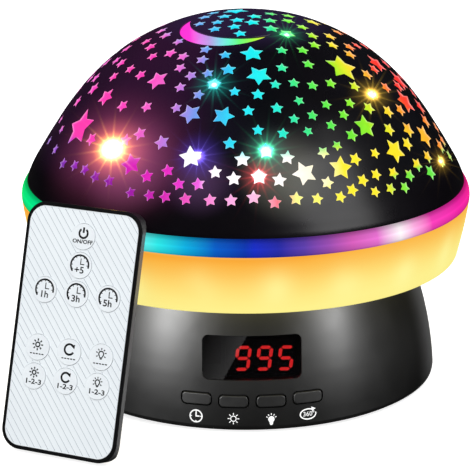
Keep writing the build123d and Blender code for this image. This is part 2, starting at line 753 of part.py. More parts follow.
liner_out = inset(shell_t + skin_gap, 69.6)
liner_in = inset(shell_t + skin_gap + liner_t, 71.2)
with BuildPart() as dome_liner:
    with BuildSketch(Plane.XZ):
        with BuildLine():
            Spline(liner_out, tangents=ends(liner_out))
            Polyline(liner_out[-1], (56.0, 69.6), (56.0, 71.2), liner_in[-1])
            Spline(liner_in, tangents=ends(liner_in))
            Line(liner_in[0], liner_out[0])
        make_face()
    revolve(axis=Axis.Z)
    with BuildSketch(Plane.XY.offset(71.2)):
        with Locations(*dome_screw_xy):
            Circle(3.0)
    extrude(amount=4.5)
    with BuildSketch(Plane.XY.offset(69.6)):
        with Locations(*dome_screw_xy):
            Circle(1.15)
    extrude(amount=5.0, mode=Mode.SUBTRACT)
dome_liner.part.label = "dome_liner"
export_step(dome_liner.part, "parts/dome_liner.step")

with BuildPart() as dome_screws:
    with BuildSketch(Plane.XY.offset(disc_z0 - 1.4)):
        with Locations(*dome_screw_xy):
            Circle(screw_head_r)
    extrude(amount=1.4)
    with BuildSketch(Plane.XY.offset(disc_z0)):
        with Locations(*dome_screw_xy):
            Circle(screw_r)
    extrude(amount=6.0)
dome_screws.part.label = "dome_screws"
export_step(dome_screws.part, "parts/dome_screws.step")

# large star windows of the front half: azimuth from -Y towards +X, height, radius, turn.
# The back half repeats them half a turn on.
big_stars = [(-64.9, 90.4, 6.7, 20), (47.2, 109.9, 5.8, -30), (68.8, 96.7, 4.8, -8), (80.6, 101.0, 4.6, -9),
             (-136.3, 122.2, 4.4, 30), (66.1, 86.6, 4.3, 26), (75.2, 107.4, 4.2, -10), (47.0, 86.4, 4.2, 19),
             (4.0, 110.3, 4.0, 30), (39.5, 94.6, 4.0, -15), (25.6, 84.9, 3.9, -15), (14.5, 84.5, 3.9, 19),
             (1.7, 115.3, 3.8, 5), (-41.3, 107.4, 3.7, -30), (-18.1, 88.9, 3.7, 12), (-36.1, 85.0, 3.7, 26),
             (-21.2, 100.2, 3.5, 33), (-9.6, 100.1, 3.5, -19), (-61.7, 100.1, 3.4, -9), (79.5, 92.7, 3.3, -3),
             (34.4, 118.9, 2.8, 10), (-44.9, 87.9, 2.9, 0), (58.4, 90.3, 2.9, 15), (74.5, 89.3, 2.9, 3),
             (73.8, 81.3, 2.9, 0), (79.9, 81.4, 2.6, -4)]
star_windows = big_stars + [(a + 180, z, r, t) for a, z, r, t in big_stars
                            if 92 < (a + 180) % 360 < 268 and z < 118]

dome_in = inset(shell_t, 69.5)
with BuildPart() as star_dome:
    with BuildSketch(Plane.XZ):
        with BuildLine():
            Spline(dome_pts, tangents=ends(dome_pts))
            Polyline(dome_pts[-1], (69.95, rim_z), (69.95, 69.5), dome_in[-1])
            Spline(dome_in, tangents=ends(dome_in))
            Line(dome_in[0], dome_pts[0])
        make_face()
    revolve(axis=Axis.Z)
    for az, z, r, turn in star_windows:
        rr, nr, nz = dome_at(z)
        a = radians(az)
        with BuildSketch(Plane(origin=(rr * sin(a), -rr * cos(a), z),
                               x_dir=(cos(a), sin(a), 0),
                               z_dir=(nr * sin(a), -nr * cos(a), nz)).offset(-4)):
            with BuildLine():
                Polyline(*star(r, turn), close=True)
            make_face()
    extrude(amount=8, mode=Mode.SUBTRACT)
    # crescent window near the top
    with BuildSketch(Plane.XY.offset(110)):
        with Locations((-5.6, -10.2)):
            Circle(16.2)
        with Locations((-1.3, -5.5)):
            Circle(17.45, mode=Mode.SUBTRACT)
    extrude(amount=14, mode=Mode.SUBTRACT)
star_dome.part.label = "star_dome"
export_step(star_dome.part, "parts/star_dome.step")

# ---------------------------------------------------------------- remote
# Local frame: x across, y up its length from the foot, z out of its face (face at z = 0).
ya, la = radians(rem_yaw), radians(rem_lean)
rem_x = (cos(ya), sin(ya), 0)
rem_y = (-sin(ya) * sin(la), cos(ya) * sin(la), cos(la))
rem_z = (sin(ya) * cos(la), -cos(ya) * cos(la), sin(la))
RP = Plane(origin=(rem_foot[0], rem_foot[1], rem_t * sin(la)), x_dir=rem_x, z_dir=rem_z)
mid_l = rem_l / 2
split_z = -2.3           # joint between the two case shells
overlay_z = -0.15

key_r = 4.0
key_xy = {"power": (0.3, 67.7), "five_minutes": (0.3, 58.85),
          "one_hour": (-10.7, 50.0), "three_hours": (0.3, 50.0), "five_hours": (11.25, 50.0),
          "warm_light": (-10.7, 32.15), "rotate": (0.3, 32.15), "colour": (11.25, 32.15),
          "warm_modes": (-10.8, 23.15), "rotate_modes": (0.2, 23.15), "colour_modes": (11.15, 23.15)}
key_pts = list(key_xy.values())

# The back shell's long sides slope in towards the back, so that a hand gets under the card.
# Plane across the remote: local x as above, local y is the depth behind the face.
foot_end = Plane(origin=RP.from_local_coords(Vector(0, -1, 0)), x_dir=rem_x, z_dir=rem_y)
half_w = rem_w / 2
slope_from, slope_in = 2.7, 2.2      # depth where the slope starts, how far in it ends
wall_in = 1.33                       # slope of the hollow, set in to leave a 1.0 mm wall


def slope_corner(inset):
    """Corner outside the sloping side: points of the region to take off."""
    return [(half_w - inset, slope_from), (half_w - inset - slope_in * 1.4, slope_from + (rem_t - slope_from) * 1.4),
            (half_w + 3, slope_from + (rem_t - slope_from) * 1.4), (half_w + 3, slope_from)]


with BuildPart() as remote_hollow:
    with BuildSketch(RP.offset(-rem_t + 0.9)):
        with Locations((0, mid_l)):
            RectangleRounded(rem_w - 2.4, rem_l - 2.4, 5.2)
    extrude(amount=rem_t)
    with BuildSketch(foot_end):
        with BuildLine():
            Polyline(*slope_corner(wall_in), close=True)
        make_face()
        mirror(about=Plane.YZ)
    extrude(amount=rem_l + 2, mode=Mode.SUBTRACT)

with BuildPart() as remote_back_shell:
    with BuildSketch(RP.offset(-rem_t)):
        with Locations((0, mid_l)):
            RectangleRounded(rem_w, rem_l, 6.4)
    extrude(amount=rem_t + split_z)
    fillet(remote_back_shell.faces().sort_by(Axis(RP.origin, RP.z_dir))[0].edges(), 0.8)
    with BuildSketch(foot_end):
        with BuildLine():
            Polyline(*slope_corner(0), close=True)
        make_face()
        mirror(about=Plane.YZ)
    extrude(amount=rem_l + 2, mode=Mode.SUBTRACT)
    add(remote_hollow.part, mode=Mode.SUBTRACT)
    # rails beside the battery bay
    with BuildSketch(RP.offset(-rem_t)):
        with Locations((12.7, 14.0), (-12.7, 14.0)):
            Rectangle(3.4, 26.0)
    extrude(amount=2.1)
    with BuildSketch(RP.offset(-4.65)):
        with Locations((0, 13.6)):
            Rectangle(24.2, 27.4)
    extrude(amount=0.9, mode=Mode.SUBTRACT)
    # open bay for the tray, through the foot edge
    with BuildSketch(RP.offset(-rem_t - 1)):
        with Locations((0, 12.5)):
            Rectangle(22.3, 29.0)
    extrude(amount=rem_t, mode=Mode.SUBTRACT)
    # hole for the infrared LED in the top edge
    with BuildSketch(Plane(origin=RP.from_local_coords(Vector(0, rem_l - 4, -2.6)), x_dir=rem_x, z_dir=rem_y)):
        Circle(1.25)
    extrude(amount=8, mode=Mode.SUBTRACT)
remote_back_shell.part.label = "remote_back_shell"
export_step(remote_back_shell.part, "parts/remote_back_shell.step")

with BuildPart() as remote_front_shell:
    with BuildSketch(RP.offset(split_z)):
        with Locations((0, mid_l)):
            RectangleRounded(rem_w, rem_l, 6.4)
    extrude(amount=-split_z)
    fillet(remote_front_shell.faces().sort_by(Axis(RP.origin, RP.z_dir))[-1].edges(), 0.6)
    # recess for the overlay
    with BuildSketch(RP.offset(-0.55)):
        with Locations((0, mid_l)):
            RectangleRounded(rem_w - 2.3, rem_l - 2.3, 5.3)
    extrude(amount=1, mode=Mode.SUBTRACT)
    # hollow behind the key plate
    with BuildSketch(RP.offset(split_z)):
        with Locations((0, mid_l)):
            RectangleRounded(rem_w - 2.4, rem_l - 2.4, 5.2)
    extrude(amount=1.1, mode=Mode.SUBTRACT)
    with BuildSketch(RP.offset(-2)):
        with Locations(*key_pts):
            Circle(key_r + 0.12)
    extrude(amount=2, mode=Mode.SUBTRACT)
    with BuildSketch(Plane(origin=RP.from_local_coords(Vector(0, rem_l - 4, -2.6)), x_dir=rem_x, z_dir=rem_y)):
        Circle(1.25)
    extrude(amount=8, mode=Mode.SUBTRACT)
remote_front_shell.part.label = "remote_front_shell"
export_step(remote_front_shell.part, "parts/remote_front_shell.step")

with BuildPart() as remote_overlay:
    with BuildSketch(RP.offset(-0.55)):
        with Locations((0, mid_l)):
            RectangleRounded(rem_w - 2.5, rem_l - 2.5, 5.2)
        with Locations(*key_pts):
            Circle(key_r + 0.12, mode=Mode.SUBTRACT)
    extrude(amount=0.4)
remote_overlay.part.label = "remote_overlay"
export_step(remote_overlay.part, "parts/remote_overlay.step")

with BuildPart() as remote_board:
    with BuildSketch(RP.offset(-2.85)):
        with Locations((0, 41.9)):
            RectangleRounded(35.8, 57.8, 2.0)
        with Locations((0, 8.5)):
            Rectangle(23.0, 10.5)
    extrude(amount=0.6)
remote_board.part.label = "remote_board"
export_step(remote_board.part, "parts/remote_board.step")

with BuildPart() as snap_domes:
    with BuildSketch(RP.offset(-2.25)):
        with Locations(*key_pts):
            Circle(3.2)
    extrude(amount=0.3, taper=40)
snap_domes.part.label = "snap_domes"
export_step(snap_domes.part, "parts/snap_domes.step")

with BuildPart() as infrared_led:
    with BuildSketch(Plane(origin=RP.from_local_coords(Vector(0, 72.3, -2.6)), x_dir=rem_x, z_dir=rem_y)):
        Circle(1.15)
    extrude(amount=4.7)
    fillet(infrared_led.faces().sort_by(Axis(RP.origin, RP.y_dir))[-1].edges(), 0.9)
infrared_led.part.label = "infrared_led"
export_step(infrared_led.part, "parts/infrared_led.step")

with BuildPart() as battery_contacts:
    with BuildSketch(RP.offset(-3.0)):
        with Locations((0, 20.0), (7.0, 20.0)):
            Rectangle(3.0, 9.0)
    extrude(amount=0.15)
battery_contacts.part.label = "battery_contacts"
export_step(battery_contacts.part, "parts/battery_contacts.step")

# battery tray: slides out of the foot edge with its coin cell
cell_y, cell_r, cell_t = 14.6, 10.0, 1.6
with BuildPart() as battery_tray:
    with BuildSketch(RP.offset(-rem_t)):
        with Locations((0, 13.0)):
            Rectangle(22.0, 26.0)
    extrude(amount=2.1)
    # tongues that run in the shell's grooves
    with BuildSketch(RP.offset(-4.5)):
        with Locations((0, 14.5)):
            Rectangle(23.8, 23.0)
    extrude(amount=0.6)
    with BuildSketch(RP.offset(-rem_t + 0.55)):
        with Locations((0, cell_y)):
            Circle(cell_r + 0.15)
    extrude(amount=4, mode=Mode.SUBTRACT)
    # finger notch in the foot edge
    with BuildSketch(RP.offset(-rem_t)):
        with Locations((0, 2.4)):
            Rectangle(9.0, 1.2)
    extrude(amount=0.5, mode=Mode.SUBTRACT)
battery_tray.part.label = "battery_tray"
export_step(battery_tray.part, "parts/battery_tray.step")

with BuildPart() as coin_cell:
    with BuildSketch(RP.offset(-rem_t + 0.55)):
        with Locations((0, cell_y)):
            Circle(cell_r)
    extrude(amount=cell_t)
    chamfer(coin_cell.edges().sort_by(Axis(RP.origin, RP.z_dir))[-1], 0.3)
coin_cell.part.label = "coin_cell"
export_step(coin_cell.part, "parts/coin_cell.step")

# eleven keys: a round patch of the face on a plunger with a retaining flange
for key_name, (kx, ky) in key_xy.items():
    with BuildPart() as remote_key:
        with BuildSketch(RP.offset(-1.55)):
            with Locations((kx, ky)):
                Circle(key_r + 0.24)
        extrude(amount=0.3)
        with BuildSketch(RP.offset(-1.25)):
            with Locations((kx, ky)):
                Circle(key_r)
        extrude(amount=1.3)
    remote_key.part.label = "key_" + key_name
    export_step(remote_key.part, "parts/key_" + key_name + ".step")
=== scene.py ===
import math
import bpy
import numpy as np
from mathutils import Matrix, Vector
from mathutils.geometry import delaunay_2d_cdt


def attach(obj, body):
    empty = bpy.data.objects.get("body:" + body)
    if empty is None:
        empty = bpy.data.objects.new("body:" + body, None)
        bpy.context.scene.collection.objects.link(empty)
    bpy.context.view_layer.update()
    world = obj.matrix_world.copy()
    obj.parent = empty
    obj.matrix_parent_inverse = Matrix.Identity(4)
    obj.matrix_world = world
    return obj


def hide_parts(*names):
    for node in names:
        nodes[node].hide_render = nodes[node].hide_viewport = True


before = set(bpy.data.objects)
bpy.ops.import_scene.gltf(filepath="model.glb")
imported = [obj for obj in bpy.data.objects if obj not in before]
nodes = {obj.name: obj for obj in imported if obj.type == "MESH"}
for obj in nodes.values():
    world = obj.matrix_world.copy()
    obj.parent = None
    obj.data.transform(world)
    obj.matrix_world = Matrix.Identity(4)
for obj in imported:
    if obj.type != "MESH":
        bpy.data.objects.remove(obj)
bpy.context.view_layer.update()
scene = bpy.context.scene
MM = 0.001

# ---------------------------------------------------------------- small helpers


def lin(r, g, b):
    """sRGB 0-255 to linear."""
    f = lambda c: c / 12.92 if c <= 0.04045 else ((c + 0.055) / 1.055) ** 2.4
    return (f(r / 255), f(g / 255), f(b / 255), 1.0)


class Mat:
    """A node material with short names for what this scene needs."""

    def __init__(self, name, **sockets):
        self.m = bpy.data.materials.new(name)
        self.m.use_nodes = True
        self.t = self.m.node_tree
        self.t.nodes.clear()
        self.p = self.add("ShaderNodeBsdfPrincipled")
        self.out = self.add("ShaderNodeOutputMaterial")
        self.link(self.p.outputs[0], self.out.inputs[0])
        for k, v in sockets.items():
            self.p.inputs[k.replace("_", " ")].default_value = v
        self._co = None

    def add(self, kind, **props):
        n = self.t.nodes.new(kind)
        for k, v in props.items():
            setattr(n, k, v)
        return n

    def link(self, a, b):
        self.t.links.new(a, b)

    def set(self, socket, v):
        if isinstance(v, bpy.types.NodeSocket):
            self.link(v, socket)
        else:
            socket.default_value = v

    @property
    def co(self):
        if self._co is None:
            self._co = self.add("ShaderNodeTexCoord").outputs["Object"]
        return self._co

    def math(self, op, a, b=0.0, c=0.0, clamp=False):
        n = self.add("ShaderNodeMath", operation=op, use_clamp=clamp)
        for i, v in enumerate((a, b, c)):
            self.set(n.inputs[i], v)
        return n.outputs[0]

    def xyz(self, vector=None):
        n = self.add("ShaderNodeSeparateXYZ")
        self.link(vector or self.co, n.inputs[0])
        return n.outputs[0], n.outputs[1], n.outputs[2]

    def noise(self, scale, detail=3.0, rough=0.5, stretch=None, offset=0.0):
        v = self.co
        if stretch or offset:
            m = self.add("ShaderNodeMapping")
            self.link(v, m.inputs[0])
            m.inputs["Scale"].default_value = stretch or (1, 1, 1)
            m.inputs["Location"].default_value = (offset, offset * 0.7, offset * 0.3)
            v = m.outputs[0]
        n = self.add("ShaderNodeTexNoise")
        self.link(v, n.inputs["Vector"])
        n.inputs["Scale"].default_value = scale
        n.inputs["Detail"].default_value = detail
        n.inputs["Roughness"].default_value = rough
        return n.outputs["Fac"]

    def ramp(self, fac, stops, interp="LINEAR"):
        n = self.add("ShaderNodeValToRGB")
        n.color_ramp.interpolation = interp
        e = n.color_ramp.elements
        while len(e) > 1:
            e.remove(e[0])
        e[0].position, e[0].color = stops[0]
        for pos, col in stops[1:]:
            e.new(pos).color = col
        self.set(n.inputs[0], fac)
        return n.outputs[0]

    def mix(self, fac, a, b, kind="MIX"):
        n = self.add("ShaderNodeMix", data_type="RGBA", blend_type=kind)
        self.set(n.inputs[0], fac)
        self.set(n.inputs[6], a)
        self.set(n.inputs[7], b)
        return n.outputs[2]

    def maprange(self, v, a, b, c=0.0, d=1.0, kind="LINEAR"):
        n = self.add("ShaderNodeMapRange", interpolation_type=kind)
        self.set(n.inputs[0], v)
        for i, x in enumerate((a, b, c, d)):
            n.inputs[i + 1].default_value = x
        return n.outputs[0]

    def azimuth(self):
        """Turn about Z from -Y towards +X, -pi to pi."""
        x, y, _ = self.xyz()
        return self.math("ARCTAN2", x, self.math("MULTIPLY", y, -1.0))

    def base(self, v):
        self.set(self.p.inputs["Base Color"], v)
        return self

    def rough(self, v):
        self.set(self.p.inputs["Roughness"], v)
        return self

    def bump(self, height, strength=0.2, distance=0.0001):
        n = self.add("ShaderNodeBump")
        n.inputs["Strength"].default_value = strength
        n.inputs["Distance"].default_value = distance
        self.link(height, n.inputs["Height"])
        self.link(n.outputs[0], self.p.inputs["Normal"])
        return self

    def glow(self, colour, strength):
        self.set(self.p.inputs["Emission Color"], colour)
        self.p.inputs["Emission Strength"].default_value = strength
        return self


def plastic(name, c1, c2, r1, r2, grain=900.0, bump=0.12, depth=0.00004, blotch=60.0, **sockets):
    """Moulded plastic: slow colour drift, uneven gloss and a fine moulding grain."""
    m = Mat(name, **sockets)
    m.base(m.ramp(m.noise(blotch, 4.0), [(0.3, c1), (0.7, c2)]))
    m.rough(m.maprange(m.noise(blotch * 3.1, 3.0, offset=0.4), 0.3, 0.7, r1, r2))
    m.bump(m.noise(grain, 2.0, 0.6), bump, depth)
    return m


def metal(name, c1, c2, r1, r2, brushed=(1, 1, 14), grain=260.0, bump=0.15):
    m = Mat(name, Metallic=0.45)
    lines = m.noise(grain, 4.0, 0.65, stretch=brushed)
    m.base(m.ramp(lines, [(0.3, c1), (0.7, c2)]))
    m.rough(m.maprange(lines, 0.25, 0.75, r1, r2))
    m.bump(lines, bump, 0.00003)
    return m


def give(node, mat):
    """A CAD node shows this material."""
    o = nodes[node]
    if not o.material_slots:
        o.data.materials.append(mat.m)
    for s in o.material_slots:
        s.material = mat.m
    return o


def new_mesh(name, verts, faces, mats, face_mat=None, normals=None, flat=False, weld=False):
    if weld:
        v = np.array([tuple(p) for p in verts])
        _, first, back = np.unique(np.round(v / 2e-6).astype(np.int64), axis=0, return_index=True, return_inverse=True)
        back = np.asarray(back).ravel()
        ok = []
        for k, f in enumerate(faces):
            g = [int(back[i]) for i in f]
            if len(set(g)) == len(g):
                ok.append((k, g))
        if normals is not None:
            start = np.concatenate([[0], np.cumsum([len(f) for f in faces])])
            normals = [normals[start[k] + i] for k, g in ok for i in range(len(g))]
        if face_mat is not None:
            face_mat = [face_mat[k] for k, _ in ok]
        verts, faces = v[first], [g for _, g in ok]
    me = bpy.data.meshes.new(name)
    me.from_pydata([tuple(v) for v in verts], [], [tuple(int(i) for i in f) for f in faces])
    for m in mats:
        me.materials.append(m.m)
    if face_mat is not None:
        me.polygons.foreach_set("material_index", np.array(face_mat, dtype=np.int32))
    me.polygons.foreach_set("use_smooth", np.full(len(me.polygons), not flat))
    me.update()
    if normals is not None:
        me.normals_split_custom_set([tuple(n) for n in normals])
    o = bpy.data.objects.new(name, me)
    scene.collection.objects.link(o)
    return o


# ---------------------------------------------------------------- dome meridian

DOME = np.array([(0, 122.35), (4.4, 122.22), (8.6, 121.85), (12.7, 121.25), (16.7, 120.45),
                 (20.6, 119.42), (24.4, 118.15), (28.1, 116.65), (31.8, 114.95), (35.4, 113.05),
                 (38.9, 110.95), (42.2, 108.65), (45.3, 106.15), (48.3, 103.5), (51.1, 100.75),
                 (53.8, 97.85), (56.3, 94.75), (58.8, 91.5), (61.1, 88.25), (63.3, 84.85),
                 (65.5, 81.45), (67.65, 77.95), (69.25, 75.3), (70.6, 73.0), (71.65, 70.95),
                 (72.4, 69.2), (72.85, 68.1), (73.05, 67.2)]) * MM


def spline_through(p, steps):
    """Cubic spline through p by chord length, level at its first point."""
    t = np.concatenate([[0], np.cumsum(np.hypot(*np.diff(p, axis=0).T))])
    n, h = len(t), np.diff(t)
    out = []
    for k in range(2):
        y = p[:, k]
        A, b = np.zeros((n, n)), np.zeros(n)
        A[0, 0], A[0, 1] = 2 * h[0], h[0]
        b[0] = 6 * ((y[1] - y[0]) / h[0] - (1.0 if k == 0 else 0.0))
        A[-1, -1] = 1
        for i in range(1, n - 1):
            A[i, i - 1], A[i, i], A[i, i + 1] = h[i - 1], 2 * (h[i - 1] + h[i]), h[i]
            b[i] = 6 * ((y[i + 1] - y[i]) / h[i] - (y[i] - y[i - 1]) / h[i - 1])
        m = np.linalg.solve(A, b)
        q = np.linspace(0, t[-1], steps)
        i = np.clip(np.searchsorted(t, q, side="right") - 1, 0, n - 2)
        d0, d1, hh = q - t[i], t[i + 1] - q, h[i]
        out.append(m[i] * d1 ** 3 / (6 * hh) + m[i + 1] * d0 ** 3 / (6 * hh)
                   + (y[i] / hh - m[i] * hh / 6) * d1 + (y[i + 1] / hh - m[i + 1] * hh / 6) * d0)
    return np.stack(out, 1)


MER = spline_through(DOME, 4001)
ARC = np.concatenate([[0], np.cumsum(np.hypot(*np.diff(MER, axis=0).T))])
TAN = np.gradient(MER, axis=0)
TAN /= np.hypot(TAN[:, 0], TAN[:, 1])[:, None]
NOR = np.stack([-TAN[:, 1], TAN[:, 0]], 1)
S_END = float(ARC[-1])


def on_dome(s, phi, depth=0.0):
    """Points and normals of the dome at arc length s from the top and azimuth phi, set in by depth."""
    s, phi = np.asarray(s, float), np.asarray(phi, float)
    r, z = np.interp(s, ARC, MER[:, 0]), np.interp(s, ARC, MER[:, 1])
    nr, nz = np.interp(s, ARC, NOR[:, 0]), np.interp(s, ARC, NOR[:, 1])
    k = np.hypot(nr, nz)
    nr, nz = nr / k, nz / k
    n = np.stack([nr * np.sin(phi), -nr * np.cos(phi), nz], -1)
    p = np.stack([r * np.sin(phi), -r * np.cos(phi), z], -1)
    return p - n * depth, n


def s_of_z(z):
    return float(np.interp(-z, -MER[:, 1], ARC))


def to_dome(points, normal):
    """Slides points along one normal onto the dome; gives (s, phi) of each."""
    out = []
    for p in points:
        p = np.array(p, float)
        for _ in range(3):
            rho = math.hypot(p[0], p[1])
            i = int(np.argmin((MER[:, 0] - rho) ** 2 + (MER[:, 1] - p[2]) ** 2))
            rad = np.array([p[0], p[1]]) / max(rho, 1e-9)
            n3 = np.array([NOR[i, 0] * rad[0], NOR[i, 0] * rad[1], NOR[i, 1]])
            q = np.array([MER[i, 0] * rad[0], MER[i, 0] * rad[1], MER[i, 1]])
            p = p - normal * float((p - q) @ n3) / max(0.3, float(normal @ n3))
        out.append((float(ARC[i]), math.atan2(p[0], -p[1])))
    return out


# star windows: azimuth from -Y towards +X in degrees, height, radius, turn
STARS = [
(-136.3,122.2,4.4,30),(27.7,122.1,2.6,-17),(88.2,121.9,2.3,36),(-60.3,121.9,2.5,-15),
(-18.2,121.7,2.5,21),(-109.9,121.5,2.3,-20),(40.6,121.4,2.5,34),(8.6,121.4,2.7,3),
(-44.5,121.1,2.2,-32),(-85.2,121.1,2.4,17),(92.2,121.0,2.5,-21),(63.8,120.8,2.4,-24),
(-15.3,120.7,2.3,20),(-61.8,120.3,2.1,-11),(25.6,120.2,2.7,-23),(-34.5,120.0,2.2,36),
(-6.9,119.5,2.2,15),(60.7,119.4,2.2,2),(89.7,119.0,3.2,-18),(34.4,118.9,2.8,10),(54.3,117.6,2.3,21),
(-71.0,116.8,2.4,4),(-86.6,116.8,2.3,18),(-51.3,116.5,2.0,-11),(69.3,116.3,2.4,5),
(-27.0,115.8,2.1,2),(45.3,115.8,2.2,32),(20.3,115.7,2.0,-18),(88.8,115.7,2.4,-24),(1.7,115.3,3.8,5),
(33.4,115.2,2.1,-31),(-13.6,114.9,2.0,12),(58.7,114.8,2.3,19),(-79.0,114.2,2.1,4),
(-47.1,113.9,2.3,6),(-67.2,113.9,2.3,-5),(-37.4,113.7,2.1,1),(-25.3,113.5,2.1,2),(70.5,113.1,2.4,3),
(80.4,112.3,2.1,-6),(-56.3,112.3,2.0,-3),(30.1,112.0,2.1,-27),(62.1,111.9,2.4,12),
(15.7,111.8,2.0,-15),(-10.2,111.6,2.5,7),(-34.2,111.1,2.0,-11),(91.8,110.7,2.5,-28),
(-88.9,110.7,2.4,-18),(-19.3,110.5,1.9,23),(4.0,110.3,4.0,30),(47.2,109.9,5.8,-30),
(-26.7,109.6,2.0,-32),(-73.6,108.4,2.3,-9),(-61.9,108.2,2.0,14),(-15.2,108.0,2.3,0),
(-81.4,108.0,2.0,-9),(18.5,108.0,1.9,-16),(10.4,107.9,1.8,-12),(-52.2,107.7,2.1,-20),
(75.2,107.4,4.2,-10),(-41.3,107.4,3.7,-30),(26.1,106.9,1.9,-22),(67.2,106.9,2.3,9),
(34.9,106.8,2.0,-31),(58.3,106.6,2.3,15),(-29.0,106.5,1.9,23),(-6.3,106.3,1.8,2),(2.8,105.6,2.1,-4),
(87.3,105.4,2.6,-16),(-20.3,105.1,1.9,-3),(-68.1,105.1,2.1,-19),(45.5,104.9,2.1,31),
(18.1,103.5,1.7,15),(-83.2,102.1,2.3,19),(62.9,102.1,2.3,10),(9.2,102.0,2.0,-6),(51.5,101.9,2.3,0),
(28.1,101.8,1.8,-28),(-1.0,101.5,1.9,2),(-27.1,101.3,1.8,23),(38.2,101.2,1.9,-34),
(80.6,101.0,4.6,-9),(73.7,100.6,2.7,-7),(-90.3,100.5,2.1,14),(-39.0,100.5,2.0,-34),
(-21.2,100.2,3.5,33),(-75.1,100.2,2.7,11),(-61.7,100.1,3.4,-9),(-9.6,100.1,3.5,-19),
(21.3,99.5,1.8,-19),(-49.8,99.4,2.2,-22),(14.5,99.0,1.7,-12),(45.3,98.9,2.3,20),(33.1,98.6,1.9,-31),
(68.8,96.7,4.8,-8),(53.6,96.6,2.4,20),(2.0,96.5,1.8,-3),(26.8,96.4,1.8,-23),(85.0,95.9,2.3,10),
(61.1,95.7,2.4,12),(18.2,95.5,1.6,18),(9.9,95.4,1.8,-11),(-80.6,95.0,2.3,13),(39.5,94.6,4.0,-15),
(-36.9,93.4,2.3,33),(-6.8,93.0,2.1,4),(32.9,93.0,2.2,-28),(79.5,92.7,3.3,-3),(49.0,92.2,2.4,24),
(-28.2,92.0,2.5,26),(-41.2,91.0,2.2,10),(4.1,91.0,2.6,0),(26.5,90.9,1.7,22),(-64.9,90.4,6.7,20),
(58.4,90.3,2.9,15),(21.4,89.6,2.0,28),(74.5,89.3,2.9,3),(10.2,89.0,2.3,-12),(-18.1,88.9,3.7,12),
(-2.9,88.8,2.5,1),(-55.5,88.8,2.4,-20),(-44.9,87.9,2.9,0),(-85.8,87.8,1.6,8),(38.7,87.1,1.8,-34),
(53.9,87.0,2.5,23),(-77.4,86.8,1.7,-17),(31.1,86.6,2.2,-31),(66.1,86.6,4.3,26),(47.0,86.4,4.2,19),
(-10.4,85.2,2.1,7),(83.0,85.0,2.3,10),(-36.1,85.0,3.7,26),(25.6,84.9,3.9,-15),(-24.1,84.7,2.1,19),
(14.5,84.5,3.9,19),(1.7,84.1,2.6,0),(-5.2,83.6,2.3,4),(7.2,83.1,2.3,-9),(-29.9,82.5,2.2,16),
(-14.7,81.8,2.1,14),(-72.7,81.6,1.9,24),(60.9,81.5,2.4,16),(36.2,81.5,2.0,-32),(-83.2,81.5,1.7,15),
(-20.1,81.4,2.0,17),(79.9,81.4,2.6,-4),(20.5,81.4,2.1,-20),(73.8,81.3,2.9,0),(53.6,80.8,2.5,22),
(42.5,80.8,2.1,32),(31.3,80.7,2.1,-30),(-57.1,80.6,2.0,-32),(-52.0,80.6,2.0,-10),(-63.2,79.7,2.0,22),
(-46.8,79.6,2.1,33),(-41.4,79.4,2.1,24),(48.3,78.9,2.2,26),(27.2,78.6,2.1,-27),(0.1,78.6,2.2,0),
(67.7,78.2,2.4,0),(11.2,77.9,2.2,-10),(-5.7,77.8,2.0,5),(-11.1,77.7,2.0,10),(-23.2,77.7,2.0,24),
(-17.6,77.6,2.0,16),(-27.7,77.6,1.9,28),(-33.4,77.5,1.8,24),(58.2,77.4,2.7,20),(16.8,77.4,1.9,-17),
(77.4,77.2,2.2,28),(23.3,77.2,1.9,-24),(5.5,77.1,2.1,-4),(34.0,77.0,1.8,-32),(39.4,76.9,2.0,32),
(44.5,76.2,2.0,26),
]


def star_outline(radius, turn, ratio=0.52, tip=0.13, cuts=1):
    """A five-pointed star with slightly rounded tips and corners, in mm."""
    raw = [np.array([(radius if i % 2 == 0 else radius * ratio) * math.cos(math.radians(90 + turn + 36 * i)),
                     (radius if i % 2 == 0 else radius * ratio) * math.sin(math.radians(90 + turn + 36 * i))])
           for i in range(10)]
    pts = []
    for i in range(10):
        a, b, c = raw[i - 1], raw[i], raw[(i + 1) % 10]
        u, v = (a - b) / np.linalg.norm(a - b), (c - b) / np.linalg.norm(c - b)
        d = tip * (1.5 if i % 2 == 0 else 0.8) * min(1.0, radius / 2.5)
        d_next = tip * (0.8 if i % 2 == 0 else 1.5) * min(1.0, radius / 2.5)
        p, q = b + u * d, b + v * d
        pts += [p, (p + q) / 4 + b / 2, q]
        e = c - v * d_next
        for k in range(1, cuts + 1):
            pts.append(q + (e - q) * k / (cuts + 1))
    return pts


def star_on_dome(az, z, radius, turn, grow=0.0):
    a = math.radians(az)
    (p0,), (n0,) = on_dome([s_of_z(z * MM)], [a])
    xd = np.array([math.cos(a), math.sin(a), 0])
    yd = np.cross(n0, xd)
    k = (radius + grow) / radius * MM
    return to_dome([p0 + (xd * x + yd * y) * k
                    for x, y in star_outline(radius, turn, cuts=2 if radius > 3.2 else 1)], n0)


def plan(sp):
    """The dome unrolled: arc length from the top becomes the distance from the origin."""
    sp = np.asarray(sp)
    return np.stack([sp[:, 0] * np.sin(sp[:, 1]), -sp[:, 0] * np.cos(sp[:, 1])], -1)


def centre_of(st):
    (p,), _ = on_dome([s_of_z(st[1] * MM)], [math.radians(st[0])])
    return p / MM


# the back half repeats the front one, turned half round
placed = list(STARS)
centres = [centre_of(st) for st in placed]
for a, z, r, t in STARS:
    if abs(a) < 92 and z < 119:
        st = (a + 180, z, r, t)
        c = centre_of(st)
        if all(np.linalg.norm(c - d) > (r + q[2]) * 0.86 + 0.5 for d, q in zip(centres, placed)):
            placed.append(st)
            centres.append(c)

BEVEL = 0.15
SHELL = 1.6 * MM
windows = [(star_on_dome(*st, grow=BEVEL), star_on_dome(*st)) for st in placed]


